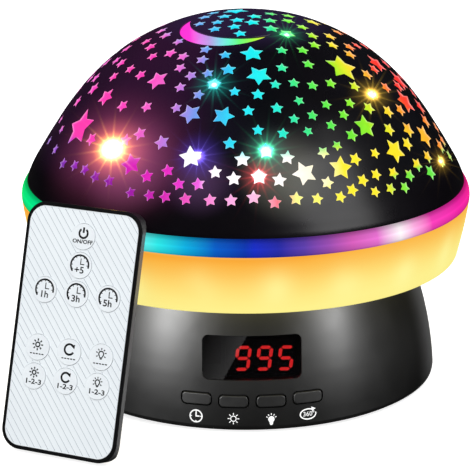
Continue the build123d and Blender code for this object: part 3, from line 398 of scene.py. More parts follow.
def moon_arcs(grow, count=56):
    """The crescent on plan in mm: outer arc from tip to tip, and inner arc between the same tips."""
    c1, r1 = np.array([-5.6, -10.2]), 16.2 + grow
    c2, r2 = np.array([-1.3, -5.5]), 17.15 - grow
    d = float(np.linalg.norm(c2 - c1))
    a = (r1 * r1 - r2 * r2 + d * d) / (2 * d)
    h = math.sqrt(max(r1 * r1 - a * a, 0.0))
    e = (c2 - c1) / d
    ang = math.atan2(e[1], e[0])
    w = 0.5 - 0.5 * np.cos(np.pi * np.linspace(0, 1, count))
    # both arcs lie on the side away from c2; half angles seen from their own centres, about the far direction
    h1 = math.pi - math.atan2(h, a)
    h2 = math.pi - math.atan2(h, a - d)
    arc = lambda c, r, half: [c + r * np.array([math.cos(ang + math.pi - half + 2 * half * x),
                                                math.sin(ang + math.pi - half + 2 * half * x)]) for x in w]
    return arc(c1, r1, h1), arc(c2, r2, h2)


def drop(xy):
    """A plan point in mm to (s, phi) straight below it on the dome."""
    rho = math.hypot(xy[0], xy[1]) * MM
    return float(np.interp(rho, MER[:, 0], ARC)), math.atan2(xy[0], -xy[1])


def moon_loop(grow):
    a, b = moon_arcs(grow)
    return [drop(p) for p in a[1:-1]] + [drop(p) for p in b[1:-1][::-1]]


windows.append((moon_loop(0.12), moon_loop(0.0)))


def ccw(loop):
    uv = plan(loop)
    x, y = uv[:, 0], uv[:, 1]
    return float((x * np.roll(y, -1) - y * np.roll(x, -1)).sum()) > 0


windows = [(o, w) if ccw(o) else (o[::-1], w[::-1]) for o, w in windows]


def inside(poly, pts):
    x, y = pts[:, 0], pts[:, 1]
    res = np.zeros(len(pts), bool)
    for (xi, yi), (xj, yj) in zip(poly, np.roll(poly, 1, axis=0)):
        res ^= ((yi > y) != (yj > y)) & (x < (xj - xi) * (y - yi) / ((yj - yi) or 1e-12) + xi)
    return res


# ---------------------------------------------------------------- dome shell mesh
step = 1.75 * MM
n_ring = int(round(S_END / step))
rim_count = 288
ring_sp = [(1e-6, 0.0)]
for k in range(1, n_ring + 1):
    s = S_END * k / n_ring
    m = rim_count if k == n_ring else max(8, int(round(2 * math.pi * float(np.interp(s, ARC, MER[:, 0])) / step)))
    ring_sp += [(s, (i + 0.5 * (k % 2)) * 2 * math.pi / m) for i in range(m)]
grid = plan(ring_sp)
free = np.ones(len(grid), bool)
polys = [plan(o) for o, _ in windows]
for poly in polys:
    lo, hi = poly.min(0) - 0.6 * MM, poly.max(0) + 0.6 * MM
    idx = np.where(np.all((grid > lo) & (grid < hi), axis=1) & free)[0]
    if len(idx):
        pts = grid[idx]
        bad = inside(poly, pts)
        d = np.full(len(idx), 1.0)
        for p, q in zip(poly, np.roll(poly, -1, axis=0)):
            t = np.clip(((pts - p) @ (q - p)) / ((q - p) @ (q - p) + 1e-18), 0, 1)
            d = np.minimum(d, np.hypot(*(pts - p - t[:, None] * (q - p)).T))
        free[idx[bad | (d < 0.42 * MM)]] = False
free[-rim_count:] = True
keep = grid[free]
coords, edges = list(keep), []
edges += [(len(keep) - rim_count + i, len(keep) - rim_count + (i + 1) % rim_count) for i in range(rim_count)]
for poly in polys:
    b = len(coords)
    coords += list(poly)
    edges += [(b + i, b + (i + 1) % len(poly)) for i in range(len(poly))]
cv, _, cf, _, _, _ = delaunay_2d_cdt([Vector(c) * 1000 for c in coords], edges, [], 0, 1e-6, True)
cv = np.array([tuple(v) for v in cv]) / 1000
tri = np.array([f for f in cf if len(f) == 3])
cen = cv[tri].mean(1)
dead = np.hypot(cen[:, 0], cen[:, 1]) > S_END
for poly in polys:
    idx = np.where(np.all((cen > poly.min(0)) & (cen < poly.max(0)), axis=1) & ~dead)[0]
    if len(idx):
        dead[idx[inside(poly, cen[idx])]] = True
tri = tri[~dead]
cs, cphi = np.minimum(np.hypot(cv[:, 0], cv[:, 1]), S_END), np.arctan2(cv[:, 0], -cv[:, 1])
top_p, top_n = on_dome(cs, cphi)
in_p, in_n = on_dome(cs, cphi, SHELL)

verts, faces, fmat, lnor = [], [], [], []


def emit(points):
    b = len(verts)
    verts.extend([tuple(p) for p in points])
    return b


def face(ids, normals, mat):
    faces.append(tuple(ids))
    lnor.extend([tuple(n) for n in normals])
    fmat.append(mat)


b0 = emit(top_p)
turn_over = (np.cross(top_p[tri[:, 1]] - top_p[tri[:, 0]], top_p[tri[:, 2]] - top_p[tri[:, 0]]) * top_n[tri[:, 0]]).sum(1) < 0
tri[turn_over] = tri[turn_over][:, ::-1]
for t in tri:
    face(b0 + t, top_n[t], 0)
in_p[:, 2] = np.maximum(in_p[:, 2], 67.2 * MM)
b1 = emit(in_p)
for t in tri:
    face((b1 + t)[::-1], -in_n[t[::-1]], 0)
# under side of the rim, then the lip inside it
phi = (np.arange(rim_count) + 0.5 * (n_ring % 2)) * 2 * math.pi / rim_count
(rim_o, rim_i), _ = on_dome([S_END, S_END], [0, 0], np.array([[0.0], [SHELL]]))
circ = lambda r, z: [(r * MM * math.sin(a), -r * MM * math.cos(a), z * MM) for a in phi]
r_in = float(-rim_i[1]) / MM
prof = [(73.05, 67.2), (r_in, 67.2), (r_in + 0.3, 67.21), (69.95, 67.21), (69.95, 69.5), (r_in + 0.3, 69.5), (r_in + 0.3, 67.21)]
ring_b = [emit(circ(*p)) for p in prof]
lip_n = [(0, -1), None, (0, -1), (-1, 0), (0, 1), (1, 0)]
for k in (0, 2, 3, 4, 5):
    for i in range(rim_count):
        j = (i + 1) % rim_count
        a, b = ring_b[k], ring_b[k + 1]
        nr, nz = lip_n[k]
        ni = [(nr * math.sin(phi[q]), -nr * math.cos(phi[q]), nz) for q in (i, j)]
        face((a + i, b + i, b + j, a + j), (ni[0], ni[0], ni[1], ni[1]), 0)
for w, (outer, wall) in enumerate(windows):
    so, sw = np.array(outer), np.array(wall)
    n = len(so)
    is_moon = w == len(windows) - 1
    po, no = on_dome(so[:, 0], so[:, 1])
    pb, nb = on_dome(sw[:, 0], sw[:, 1], BEVEL * 0.8 * MM)
    pe, _ = on_dome(sw[:, 0], sw[:, 1], SHELL)
    pf, _ = on_dome(so[:, 0], so[:, 1], SHELL)
    i0, i1, i2, i3 = emit(po), emit(pb), emit(pe), emit(pf)
    for i in range(n):
        j = (i + 1) % n
        inw = np.cross(nb[i], pb[j] - pb[i])
        inw /= np.linalg.norm(inw) + 1e-15
        bev = inw + no[i]
        bev /= np.linalg.norm(bev)
        face((i0 + i, i0 + j, i1 + j, i1 + i), [bev] * 4, 0 if is_moon else 1)
        face((i1 + i, i1 + j, i2 + j, i2 + i), [inw] * 4, 0 if is_moon else 1)
        face((i2 + i, i2 + j, i3 + j, i3 + i), [-nb[i]] * 4, 0)

# ---------------------------------------------------------------- colours of the lit parts

U_STOPS = [(-1.0, (225, 60, 190)), (-0.9, (250, 55, 165)), (-0.74, (248, 60, 178)), (-0.58, (226, 92, 192)),
           (-0.46, (182, 112, 208)), (-0.34, (112, 142, 222)), (-0.22, (52, 168, 228)), (-0.08, (0, 214, 232)),
           (0.1, (0, 224, 222)), (0.22, (24, 222, 168)), (0.36, (62, 222, 92)), (0.5, (96, 224, 52)),
           (0.63, (140, 226, 34)), (0.71, (206, 222, 34)), (0.79, (248, 204, 40)), (0.86, (255, 140, 42)),
           (0.9, (250, 66, 44)), (1.0, (238, 30, 42))]
LOW_STOPS = [(-1.0, (128, 74, 190)), (-0.88, (142, 44, 184)), (-0.72, (164, 26, 172)), (-0.58, (204, 18, 172)),
             (-0.44, (216, 24, 178)), (-0.34, (220, 36, 192)), (-0.25, (226, 84, 214)), (-0.19, (255, 240, 252)), (0.0, (252, 250, 250)),
             (0.2, (255, 246, 236)), (0.34, (255, 244, 190)), (0.44, (246, 226, 40)), (0.66, (250, 222, 30)),
             (0.8, (240, 214, 36)), (0.9, (255, 176, 40)), (1.0, (246, 92, 44))]
FOOT_STOPS = [(-1.0, (110, 60, 170)), (-0.8, (122, 26, 150)), (-0.55, (150, 18, 158)), (-0.4, (206, 26, 172)),
              (-0.25, (234, 84, 186)), (-0.14, (242, 150, 212)), (-0.02, (246, 176, 218)), (0.04, (246, 178, 206)), (0.11, (238, 112, 128)),
              (0.15, (244, 176, 140)), (0.2, (246, 240, 132)),
              (0.36, (246, 232, 70)), (0.46, (246, 226, 36)), (0.6, (244, 222, 40)), (0.68, (130, 222, 56)), (0.78, (100, 224, 66)),
              (0.92, (96, 222, 70)), (1.0, (200, 200, 60))]


def stops_of(table, pale=0.0):
    out = []
    for u, (r, g, b) in table:
        c = [v + (255 - v) * pale for v in (r, g, b)]
        out.append(((u + 1) / 2, lin(*c)))
    return out


def near(m, at, r0, r1, top=1.0, along=None, squeeze=0.0):
    """Falls from top at r0 mm to nothing at r1 mm from a point; reaches further along a direction."""
    d = m.add("ShaderNodeVectorMath", operation="SUBTRACT")
    m.link(m.co, d.inputs[0])
    d.inputs[1].default_value = tuple(v * MM for v in at)
    off = d.outputs[0]
    if along is not None:
        dot = m.add("ShaderNodeVectorMath", operation="DOT_PRODUCT")
        m.link(off, dot.inputs[0])
        dot.inputs[1].default_value = tuple(along)
        back = m.add("ShaderNodeVectorMath", operation="SCALE")
        back.inputs[0].default_value = tuple(v * squeeze for v in along)
        m.link(dot.outputs["Value"], back.inputs["Scale"])
        e = m.add("ShaderNodeVectorMath", operation="SUBTRACT")
        m.link(off, e.inputs[0])
        m.link(back.outputs[0], e.inputs[1])
        off = e.outputs[0]
    size = m.add("ShaderNodeVectorMath", operation="LENGTH")
    m.link(off, size.inputs[0])
    return m.maprange(size.outputs["Value"], r0 * MM, r1 * MM, top, 0.0, "SMOOTHSTEP")


def star_colour(m, pale=0.0):
    """The colour that the LEDs give a place on the dome."""
    x, y, z = m.xyz()
    rho = m.math("SQRT", m.math("ADD", m.math("ADD", m.math("MULTIPLY", x, x), m.math("MULTIPLY", y, y)),
                                0.026 ** 2))
    u = m.math("MULTIPLY", m.math("DIVIDE", x, rho), 1.06)
    t = m.maprange(u, -1.0, 1.0)
    up = m.math("ADD", 1.0, m.maprange(z, 0.094, 0.108, 0.0, 0.075))
    calm = m.math("MULTIPLY", m.math("MINIMUM", u, 0.0), m.maprange(z, 0.1135, 0.1185, 1.0, 0.5, "SMOOTHSTEP"))
    uu = m.math("ADD", calm, m.math("MAXIMUM", u, 0.0))
    high = m.ramp(m.maprange(m.math("MULTIPLY", uu, up), -1.0, 1.0), stops_of(U_STOPS, pale))
    low = m.ramp(t, stops_of(LOW_STOPS, pale))
    foot = m.ramp(t, stops_of(FOOT_STOPS, pale))
    lift = m.maprange(u, -0.35, -0.6, 0.0, 0.0035, "SMOOTHSTEP")
    zz = m.math("ADD", z, lift)
    w1 = m.maprange(zz, 0.0925, 0.0875, kind="SMOOTHSTEP")
    w2 = m.maprange(z, 0.0812, 0.0790, kind="SMOOTHSTEP")
    col = m.mix(w2, m.mix(w1, high, low), foot)
    return m.mix(near(m, (-18.5, -58.0, 88.9), 4.0, 6.0, 0.95), col, (1, 1, 1, 1))


# LEDs that shine straight through a window, each shown as a painted hot spot: name, azimuth, height, radius (mm),
# colour, glow of the disc, glow of its centre
FLARES = [("warm", -44.9, 87.9, 2.2, (1.0, 0.42, 0.07), 5.0, 3000.0), ("green", 4.1, 91.0, 1.15, (0.02, 1.0, 0.42), 4.0, 380.0),
          ("violet", -16.0, 89.2, 0.55, (0.22, 0.14, 1.0), 5.0, 800.0), ("red", 1.7, 84.3, 0.7, (1.0, 0.05, 0.07), 3.0, 420.0),
          ("teal", -15.2, 108.0, 0.5, (0.02, 1.0, 0.82), 3.0, 400.0), ("leaf", 34.4, 118.9, 0.5, (0.02, 1.0, 0.28), 3.0, 340.0),
          ("yellow", 51.5, 101.9, 0.75, (1.0, 0.62, 0.05), 3.0, 560.0), ("gold", 67.7, 78.2, 0.5, (1.0, 0.58, 0.05), 3.0, 340.0)]
# painted light: a burst of glow painted right round each LED on the surfaces near it: from radius, to radius (mm),
# colour
PAINTED_BURST = {"warm": ((1.6, 7.6, (2.4, 0.95, 0.16)), (1.2, 5.4, (4.0, 3.2, 1.2)), (0.8, 4.2, (3.0, 3.0, 3.0))), "green": ((0.6, 4.2, (0.2, 2.6, 1.3)), (0.2, 2.5, (3.0, 3.0, 3.0))),
         "violet": ((0.4, 3.6, (0.4, 0.25, 2.6)), (0.2, 1.5, (3.0, 3.0, 3.0))), "red": ((0.3, 3.4, (2.0, 0.1, 0.16)), (0.6, 2.6, (3.0, 3.0, 3.0))),
         "teal": ((0.3, 3.0, (0.2, 2.4, 2.4)), (0.2, 1.4, (3.0, 3.0, 3.0))), "leaf": ((0.3, 3.0, (0.2, 2.0, 0.6)), (0.2, 1.3, (2.6, 3.0, 2.6))),
         "yellow": ((0.3, 3.8, (3.0, 1.7, 0.25)), (0.2, 2.0, (3.2, 3.2, 2.6))), "gold": ((0.3, 2.8, (2.2, 1.3, 0.2)), (0.2, 1.2, (3.0, 3.0, 2.4)))}


def flare_at(az, z, depth):
    (c,), (n,) = on_dome([s_of_z(z * MM)], [math.radians(az)], depth)
    return c, n


# paints glow round each LED over a colour: painted light
def paint_glows(m, colour, table):
    for name, az, z, rad, col, soft, power in FLARES:
        c, _ = flare_at(az, z, 0.0)
        a = math.radians(az)
        for r0, r1, tint in table[name]:
            w = near(m, c / MM, r0, r1, along=(math.cos(a), math.sin(a), 0.0), squeeze=min(1.0 - math.cos(a), 0.5))
            w = m.math("MULTIPLY", w, w)
            colour = m.mix(1.0, colour, m.mix(w, (0, 0, 0, 1), tuple(tint) + (1,)), "ADD")
    return colour


# gloss black shell; the LEDs' light spreading over it round each bright window is painted light, a glow painted on the
# shell
m_dome = Mat("dome_gloss", Specular_IOR_Level=0.32)
m_dome.base(m_dome.ramp(m_dome.noise(45.0, 4.0), [(0.3, (0.0012, 0.0009, 0.0016, 1)), (0.7, (0.0026, 0.002, 0.0034, 1))]))
m_dome.rough(m_dome.maprange(m_dome.noise(120.0, 2.0), 0.3, 0.7, 0.27, 0.30))
m_dome.bump(m_dome.noise(420.0, 2.0, 0.5), 0.03, 0.00003)
dx, dy, dz = m_dome.xyz()
du = m_dome.math("DIVIDE", dx, m_dome.math("SQRT", m_dome.math("ADD", m_dome.math("ADD", m_dome.math("MULTIPLY", dx, dx),
                 m_dome.math("MULTIPLY", dy, dy)), 0.026 ** 2)))
# painted glow across the shell: magenta and violet on the left, next to nothing in the middle, a faint grey on the
# right
painted_glow = m_dome.ramp(m_dome.maprange(du, -1.0, 1.0), [
    (0.0, (0.010, 0.004, 0.012, 1)), (0.14, (0.024, 0.005, 0.024, 1)), (0.3, (0.020, 0.004, 0.022, 1)),
    (0.42, (0.003, 0.002, 0.007, 1)), (0.52, (0.0004, 0.0012, 0.002, 1)), (0.7, (0.001, 0.001, 0.001, 1)),
    (0.9, (0.0035, 0.004, 0.005, 1)), (1.0, (0.0004, 0.0004, 0.0004, 1))])
# the painted glow fades out towards the lower rim
painted_glow = m_dome.mix(m_dome.maprange(dz, 0.083, 0.072, kind="SMOOTHSTEP"), painted_glow, (0.001, 0.0007, 0.001, 1))
# painted reflection: a dark purple haze over the top
painted_glow = m_dome.mix(m_dome.maprange(dz, 0.1150, 0.1205, 0.0, 0.8, "SMOOTHSTEP"), painted_glow, (0.022, 0.012, 0.045, 1))
# painted light round each LED that shines through: from radius, to radius (mm), colour
PAINTED_SPILL = {"warm": ((3.0, 31.0, (0.14, 0.022, 0.062)), (2.5, 15.0, (0.6, 0.12, 0.10))), "green": ((1.0, 9.0, (0.0, 0.14, 0.08)), (1.0, 13.0, (0.014, 0.028, 0.03))),
         "violet": ((0.6, 11.0, (0.035, 0.02, 0.24)),), "red": ((0.8, 8.0, (0.28, 0.012, 0.02)),),
         "teal": ((0.5, 9.5, (0.0, 0.10, 0.09)),), "leaf": ((0.5, 8.0, (0.0, 0.12, 0.035)),),
         "yellow": ((0.5, 9.0, (0.16, 0.10, 0.01)),), "gold": ((0.5, 6.5, (0.12, 0.07, 0.006)),)}
painted_glow = paint_glows(m_dome, paint_glows(m_dome, painted_glow, PAINTED_SPILL), PAINTED_BURST)
# painted hazes: magenta beside the warm LED, pale grey round the white stars, violet between
for az, z, r1, tint in ((-36.5, 84.5, 20.0, (0.14, 0.034, 0.08)), (9.0, 84.5, 17.0, (0.10, 0.10, 0.082)), (-14.0, 82.5, 13.0, (0.05, 0.022, 0.06))):
    c, _ = flare_at(az, z, 0.0)
    painted_glow = m_dome.mix(1.0, painted_glow, m_dome.mix(near(m_dome, c / MM, 1.0, r1), (0, 0, 0, 1), tuple(tint) + (1,)), "ADD")
m_dome.glow(painted_glow, 1.0)

# the cut walls of the star windows glow a paler star colour: painted light standing for the walls catching the LEDs'
# light
m_edge = Mat("cut_edge_painted_glow", Roughness=0.35)
edge_col = star_colour(m_edge, 0.34)
m_edge.base(m_edge.mix(0.7, edge_col, (0.0, 0.0, 0.0, 1)))
edge_painted_glow = m_edge.mix(m_edge.maprange(m_edge.noise(700.0, 2.0), 0.3, 0.7, 0.0, 0.35), edge_col, m_edge.mix(0.6, edge_col, (0, 0, 0, 1)))
# the bursts round the LEDs on these walls are painted light
m_edge.glow(paint_glows(m_edge, edge_painted_glow, PAINTED_BURST), 0.85)

dome = new_mesh("star_dome_shell", verts, faces, [m_dome, m_edge], fmat, normals=lnor, weld=True)
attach(dome, "dome")
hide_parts("star_dome")

# ---------------------------------------------------------------- raised stars of the inner shell, in the windows
m_boss = Mat("opal_star_lit", Roughness=0.42)
boss_col = star_colour(m_boss)
cloud = m_boss.maprange(m_boss.noise(520.0, 3.0), 0.3, 0.7, 0.0, 0.22)
m_boss.base(m_boss.mix(0.8, boss_col, (0.0, 0.0, 0.0, 1)))
# the bursts round the LEDs laid on these stars are painted light
m_boss.glow(paint_glows(m_boss, m_boss.mix(cloud, boss_col, m_boss.mix(0.5, boss_col, (0, 0, 0, 1))), PAINTED_BURST), 1.02)
m_boss.bump(m_boss.noise(1500.0, 2.0), 0.08, 0.00003)

bv, bf, bn = [], [], []
BOSS = 0.42 * MM
for st in placed:
    loop = star_on_dome(*st, grow=-0.02)
    if not ccw(loop):
        loop = loop[::-1]
    sp = np.array(loop)
    p, n = on_dome(sp[:, 0], sp[:, 1], BOSS)
    q, _ = on_dome(sp[:, 0], sp[:, 1], 1.85 * MM)
    (c,), (cn,) = on_dome([s_of_z(st[1] * MM)], [math.radians(st[0])], BOSS)
    b = len(bv)
    k = len(sp)
    # a second ring half way in keeps the face on the dome's curve
    hs = []
    for a in p:
        d = (a + c) / 2
        rho = math.hypot(d[0], d[1])
        i = int(np.argmin((MER[:, 0] - rho) ** 2 + (MER[:, 1] - d[2]) ** 2))
        hs.append((ARC[i], math.atan2(d[0], -d[1])))
    hs = np.array(hs)
    hp, hn = on_dome(hs[:, 0], hs[:, 1], BOSS)
    bv += [tuple(v) for v in p] + [tuple(v) for v in hp] + [tuple(c)] + [tuple(v) for v in p] + [tuple(v) for v in q]
    for i in range(k):
        j = (i + 1) % k
        bf.append((b + i, b + j, b + k + j, b + k + i)); bn += [n[i], n[j], hn[j], hn[i]]
        bf.append((b + k + i, b + k + j, b + 2 * k)); bn += [hn[i], hn[j], cn]
        o = np.cross(p[j] - p[i], n[i]); o /= np.linalg.norm(o) + 1e-15
        w0, w1 = b + 2 * k + 1, b + 3 * k + 1
        bf.append((w0 + j, w0 + i, w1 + i, w1 + j)); bn += [o] * 4
    bf.append(tuple(b + 3 * k + 1 + i for i in range(k))[::-1]); bn += [-cn] * k
bosses = new_mesh("window_stars", bv, bf, [m_boss], normals=bn, weld=True)
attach(bosses, "dome")

m_moon = Mat("opal_moon_lit", Roughness=0.4)
mx, my, mz = m_moon.xyz()
moon_col = m_moon.ramp(m_moon.maprange(mx, -0.024, 0.010), [
    (0.0, lin(244, 40, 196)), (0.16, lin(246, 48, 200)), (0.25, lin(206, 112, 214)), (0.34, lin(172, 142, 210)),
    (0.44, lin(120, 196, 214)), (0.52, lin(96, 224, 190)), (0.62, lin(92, 230, 110)), (0.74, lin(140, 226, 60)),
    (0.86, lin(206, 222, 50)), (1.0, lin(240, 214, 60))])
m_moon.base(m_moon.mix(0.8, moon_col, (0, 0, 0, 1)))
m_moon.glow(m_moon.mix(m_moon.maprange(m_moon.noise(300.0, 3.0), 0.3, 0.7, 0.0, 0.2), moon_col,
                       m_moon.mix(0.6, moon_col, (0, 0, 0, 1))), 1.1)
m_moon.bump(m_moon.noise(1500.0, 2.0), 0.08, 0.00003)
arc_o, arc_i = moon_arcs(-0.02)
arc_o, arc_i = arc_o[1:-1], arc_i[1:-1]
LAY = 5
mv, mf, mn = [], [], []
rows = []
for a, b in zip(arc_o, arc_i):
    row = []
    for k in range(LAY + 1):
        s, ph = drop(a + (b - a) * k / LAY)
        (p,), (n,) = on_dome([s], [ph], 0.55 * MM)
        row.append(len(mv)); mv.append(tuple(p)); mn.append(n)
    rows.append(row)
mvn = []
for r0, r1 in zip(rows, rows[1:]):
    for k in range(LAY):
        ids = (r0[k], r1[k], r1[k + 1], r0[k + 1])
        v = [np.array(mv[i]) for i in ids]
        if np.cross(v[1] - v[0], v[3] - v[0])[2] < 0:
            ids = ids[::-1]
        mf.append(ids)
        mvn += [mn[i] for i in ids]
n_top = len(mv)
for i in range(n_top):
    mv.append(tuple(np.array(mv[i]) - np.array(mn[i]) * 1.2 * MM)); mn.append(mn[i])
for f in list(mf):
    g = tuple(i + n_top for i in f)[::-1]
    mf.append(g)
    mvn += [-np.array(mn[i]) for i in g]
moon_rim = [r[0] for r in rows] + [r[-1] for r in rows[::-1]]
low_ring = []
for i in moon_rim:
    p, n = np.array(mv[i]), mn[i]
    low_ring.append(len(mv)); mv.append(tuple(p - n * 1.2 * MM)); mn.append(n)
top_ring = []
for i in moon_rim:
    top_ring.append(len(mv)); mv.append(mv[i]); mn.append(mn[i])
mid = np.array(mv).mean(0)
for i in range(len(moon_rim)):
    j = (i + 1) % len(moon_rim)
    ids = (top_ring[i], low_ring[i], low_ring[j], top_ring[j])
    o = np.cross(np.array(mv[low_ring[i]]) - mv[top_ring[i]], np.array(mv[top_ring[j]]) - mv[top_ring[i]])
    o /= np.linalg.norm(o) + 1e-15
    mf.append(ids); mvn += [o] * 4
moon = new_mesh("window_moon", mv, mf, [m_moon], normals=mvn, weld=True)
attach(moon, "dome")

# ---------------------------------------------------------------- places where an LED shines straight through: painted hot spots, glowing discs in the windows that stand in for the LEDs seen through them
for name, az, z, rad, col, soft, power in FLARES:
    m = Mat("led_glare_disc_" + name, Roughness=0.3)
    core = m.noise(1800.0, 2.0)
    tint = tuple(col) + (1.0,)
    m.base(m.mix(m.maprange(core, 0.3, 0.7, 0.0, 0.3), tint, (1, 1, 1, 1)))
    c, n0 = flare_at(az, z, 0.42 * MM)
    edge = near(m, (c + n0 * 0.2 * MM) / MM, rad * 0.55, rad * 1.05)
    m.glow(m.mix(edge, m.mix(0.12, tint, (1, 1, 1, 1)), (1, 0.97, 0.92, 1)), soft)
    hot = Mat("led_hot_spot_" + name, Roughness=0.3)
    hot.base(tint)
    hot.glow(hot.mix(hot.maprange(hot.noise(2500.0, 1.0), 0.3, 0.7, 0.0, 0.03), tint, (1, 1, 1, 1)), power)
    a = math.radians(az)
    xd = np.array([math.cos(a), math.sin(a), 0])
    yd = np.cross(n0, xd)
    rings = ((0.24 / rad, 0.24), (0.6, 0.17), (1.0, 0.03), (1.0, -0.3)) if rad > 0.6 else ((0.2 / rad, 0.2), (0.8, 0.1), (1.0, 0.03), (1.0, -0.3))
    pv, pf, pm = [tuple(c + n0 * 0.25 * MM)], [], []
    for rr, hh in rings:
        for i in range(24):
            t = 2 * math.pi * i / 24
            pv.append(tuple(c + (xd * math.cos(t) + yd * math.sin(t)) * rad * rr * MM + n0 * hh * MM))
    for i in range(24):
        j = (i + 1) % 24
        pf.append((0, 1 + i, 1 + j)); pm.append(1)
        for k in range(3):
            q = 1 + 24 * k
            pf.append((q + i, q + 24 + i, q + 24 + j, q + j)); pm.append(0)
    pf.append(tuple(range(73, 97))[::-1]); pm.append(0)
    o = new_mesh("led_spot_" + name, pv, pf, [m, hot], pm)
    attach(o, "dome")

# ---------------------------------------------------------------- prints: flat figures laid on a surface


class Art:
    """Flat figures in mm on a plane (x right, y up), later laid on a surface."""

    def __init__(self):
        self.v, self.f = [], []

    def quad_strip(self, left, right, closed=False):
        b, n = len(self.v), len(left)
        self.v += list(left) + list(right)
        for i in range(n if closed else n - 1):
            j = (i + 1) % n
            self.f.append((b + n + i, b + n + j, b + j, b + i))

    def line(self, pts, w, closed=False):
        p = np.array(pts, float)
        n = len(p)
        left, right = [], []
        for i in range(n):
            a = p[i - 1] if (i or closed) else p[i]
            c = p[(i + 1) % n] if (i < n - 1 or closed) else p[i]
            d1, d2 = p[i] - a, c - p[i]
            d1 = d1 / (np.linalg.norm(d1) or 1) if np.linalg.norm(d1) else d2 / np.linalg.norm(d2)
            d2 = d2 / (np.linalg.norm(d2) or 1) if np.linalg.norm(d2) else d1
            m = np.array([-(d1 + d2)[1], (d1 + d2)[0]])
            m /= np.linalg.norm(m)
            k = w / 2 / max(0.5, float(m @ np.array([-d1[1], d1[0]])))
            left.append(p[i] + m * k)
            right.append(p[i] - m * k)
        self.quad_strip(left, right, closed)
        return self

    def arc(self, c, r, a0, a1, w, n=36, ry=None):
        ry = ry or r
        t = np.radians(np.linspace(a0, a1, n))
        full = abs(abs(a1 - a0) - 360) < 1e-6
        if full:
            t = t[:-1]
        return self.line([(c[0] + r * math.cos(a), c[1] + ry * math.sin(a)) for a in t], w, full)

    def poly(self, pts):
        b = len(self.v)
        self.v += [np.array(p, float) for p in pts]
        self.f.append(tuple(b + i for i in range(len(pts))))
        return self

    def disc(self, c, r, n=28):
        return self.poly([(c[0] + r * math.cos(2 * math.pi * i / n), c[1] + r * math.sin(2 * math.pi * i / n))
                          for i in range(n)])

    def text(self, words, x, y, height, squeeze=1.0, bold=0.0):
        cu = bpy.data.curves.new("words", "FONT")
        cu.offset = bold
        cu.body, cu.align_x, cu.align_y, cu.size = words, "CENTER", "CENTER", height / 0.7
        cu.resolution_u = 3
        ob = bpy.data.objects.new("words", cu)
        me = bpy.data.meshes.new_from_object(ob)
        b = len(self.v)
        self.v += [np.array([x + v.co.x * squeeze, y + v.co.y]) for v in me.vertices]
        self.f += [tuple(b + i for i in p.vertices) for p in me.polygons]
        bpy.data.objects.remove(ob)
        bpy.data.curves.remove(cu)
        bpy.data.meshes.remove(me)
        return self

    def lay(self, name, mat, body, slot, place, thick=0.03):
        v = [place(p[0], p[1]) for p in self.v]
        up = []
        for f in self.f:
            a, b, c = (np.array(v[i]) for i in f[:3])
            up.append(np.cross(b - a, c - a))
        ref = np.array(place(0.0, 0.0))
        want = np.cross(np.array(place(1.0, 0.0)) - ref, np.array(place(0.0, 1.0)) - ref)
        f = [g if u @ want > 0 else g[::-1] for g, u in zip(self.f, up)]
        o = new_mesh(name, v, f, [mat], flat=True)
        s = o.modifiers.new("thick", "SOLIDIFY")
        s.thickness, s.offset = thick * MM, -1.0
        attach(o, body)
        return o


def ink(name, c1, c2, rough=0.5, glow=None):
    m = Mat(name)
    m.base(m.ramp(m.noise(900.0, 3.0), [(0.3, lin(*c1)), (0.7, lin(*c2))]))
    m.rough(m.maprange(m.noise(1400.0, 2.0), 0.3, 0.7, rough - 0.06, rough + 0.06))
    m.bump(m.noise(2600.0, 2.0), 0.1, 0.00002)
    if glow:
        m.glow(lin(*glow[0]), glow[1])
    return m


# the white print also glows faintly: painted light that keeps it bright
m_white = ink("print_white_painted_glow", (240, 242, 242), (250, 251, 252), 0.5, glow=((255, 255, 255), 0.42))
m_dark = ink("print_dark", (7, 8, 10), (14, 15, 18), 0.55)
m_hair = ink("print_hairline", (166, 175, 183), (180, 188, 196), 0.5)
m_ring = ink("print_key_ring", (168, 174, 180), (186, 190, 196), 0.5)

# icons printed under the base buttons


def base_r(z):
    return 64.5 - 0.0416 * z - 0.00456 * z * z


def on_base(az, z0, lift=0.05):
    a0 = math.radians(az)
    r0 = base_r(z0)

    def place(x, y):
        z = z0 + y
        r = base_r(z) + lift
        a = a0 + x / r0
        return (r * math.sin(a) * MM, -r * math.cos(a) * MM, z * MM)
    return place


clock = Art()
clock.arc((0, 0), 1.95, 0, 360, 0.4, 41)
for k in range(4):
    a = math.radians(90 * k)
    clock.line([(1.35 * math.cos(a), 1.35 * math.sin(a)), (1.8 * math.cos(a), 1.8 * math.sin(a))], 0.3)
clock.line([(0, 1.35), (0, 0), (1.15, 0)], 0.42)
clock.lay("icon_timer", m_white, "lamp", "charcoal_plastic", on_base(-16.05, 5.3))
sun = Art()
sun.arc((0, 0), 0.86, 0, 360, 0.28, 33)
for k in range(8):
    a = math.radians(45 * k)
    sun.line([(1.2 * math.cos(a), 1.2 * math.sin(a)), (1.85 * math.cos(a), 1.85 * math.sin(a))], 0.26)
sun.lay("icon_brightness", m_white, "lamp", "charcoal_plastic", on_base(-5.35, 5.1))


def bulb_solid(art, s=1.0, x=0.0, y=0.0):
    pts = []
    for k in range(25):
        t = math.radians(-52 + (360 - 76) * k / 24)
        pts.append((x + s * 1.0 * math.cos(t), y + s * (0.05 + 1.0 * math.sin(t))))
    pts += [(x - s * 0.52, y - s * 1.25), (x - s * 0.5, y - s * 1.5), (x - s * 0.25, y - s * 1.85),
            (x + s * 0.25, y - s * 1.85), (x + s * 0.5, y - s * 1.5), (x + s * 0.52, y - s * 1.25)]
    art.poly(pts)
    return art


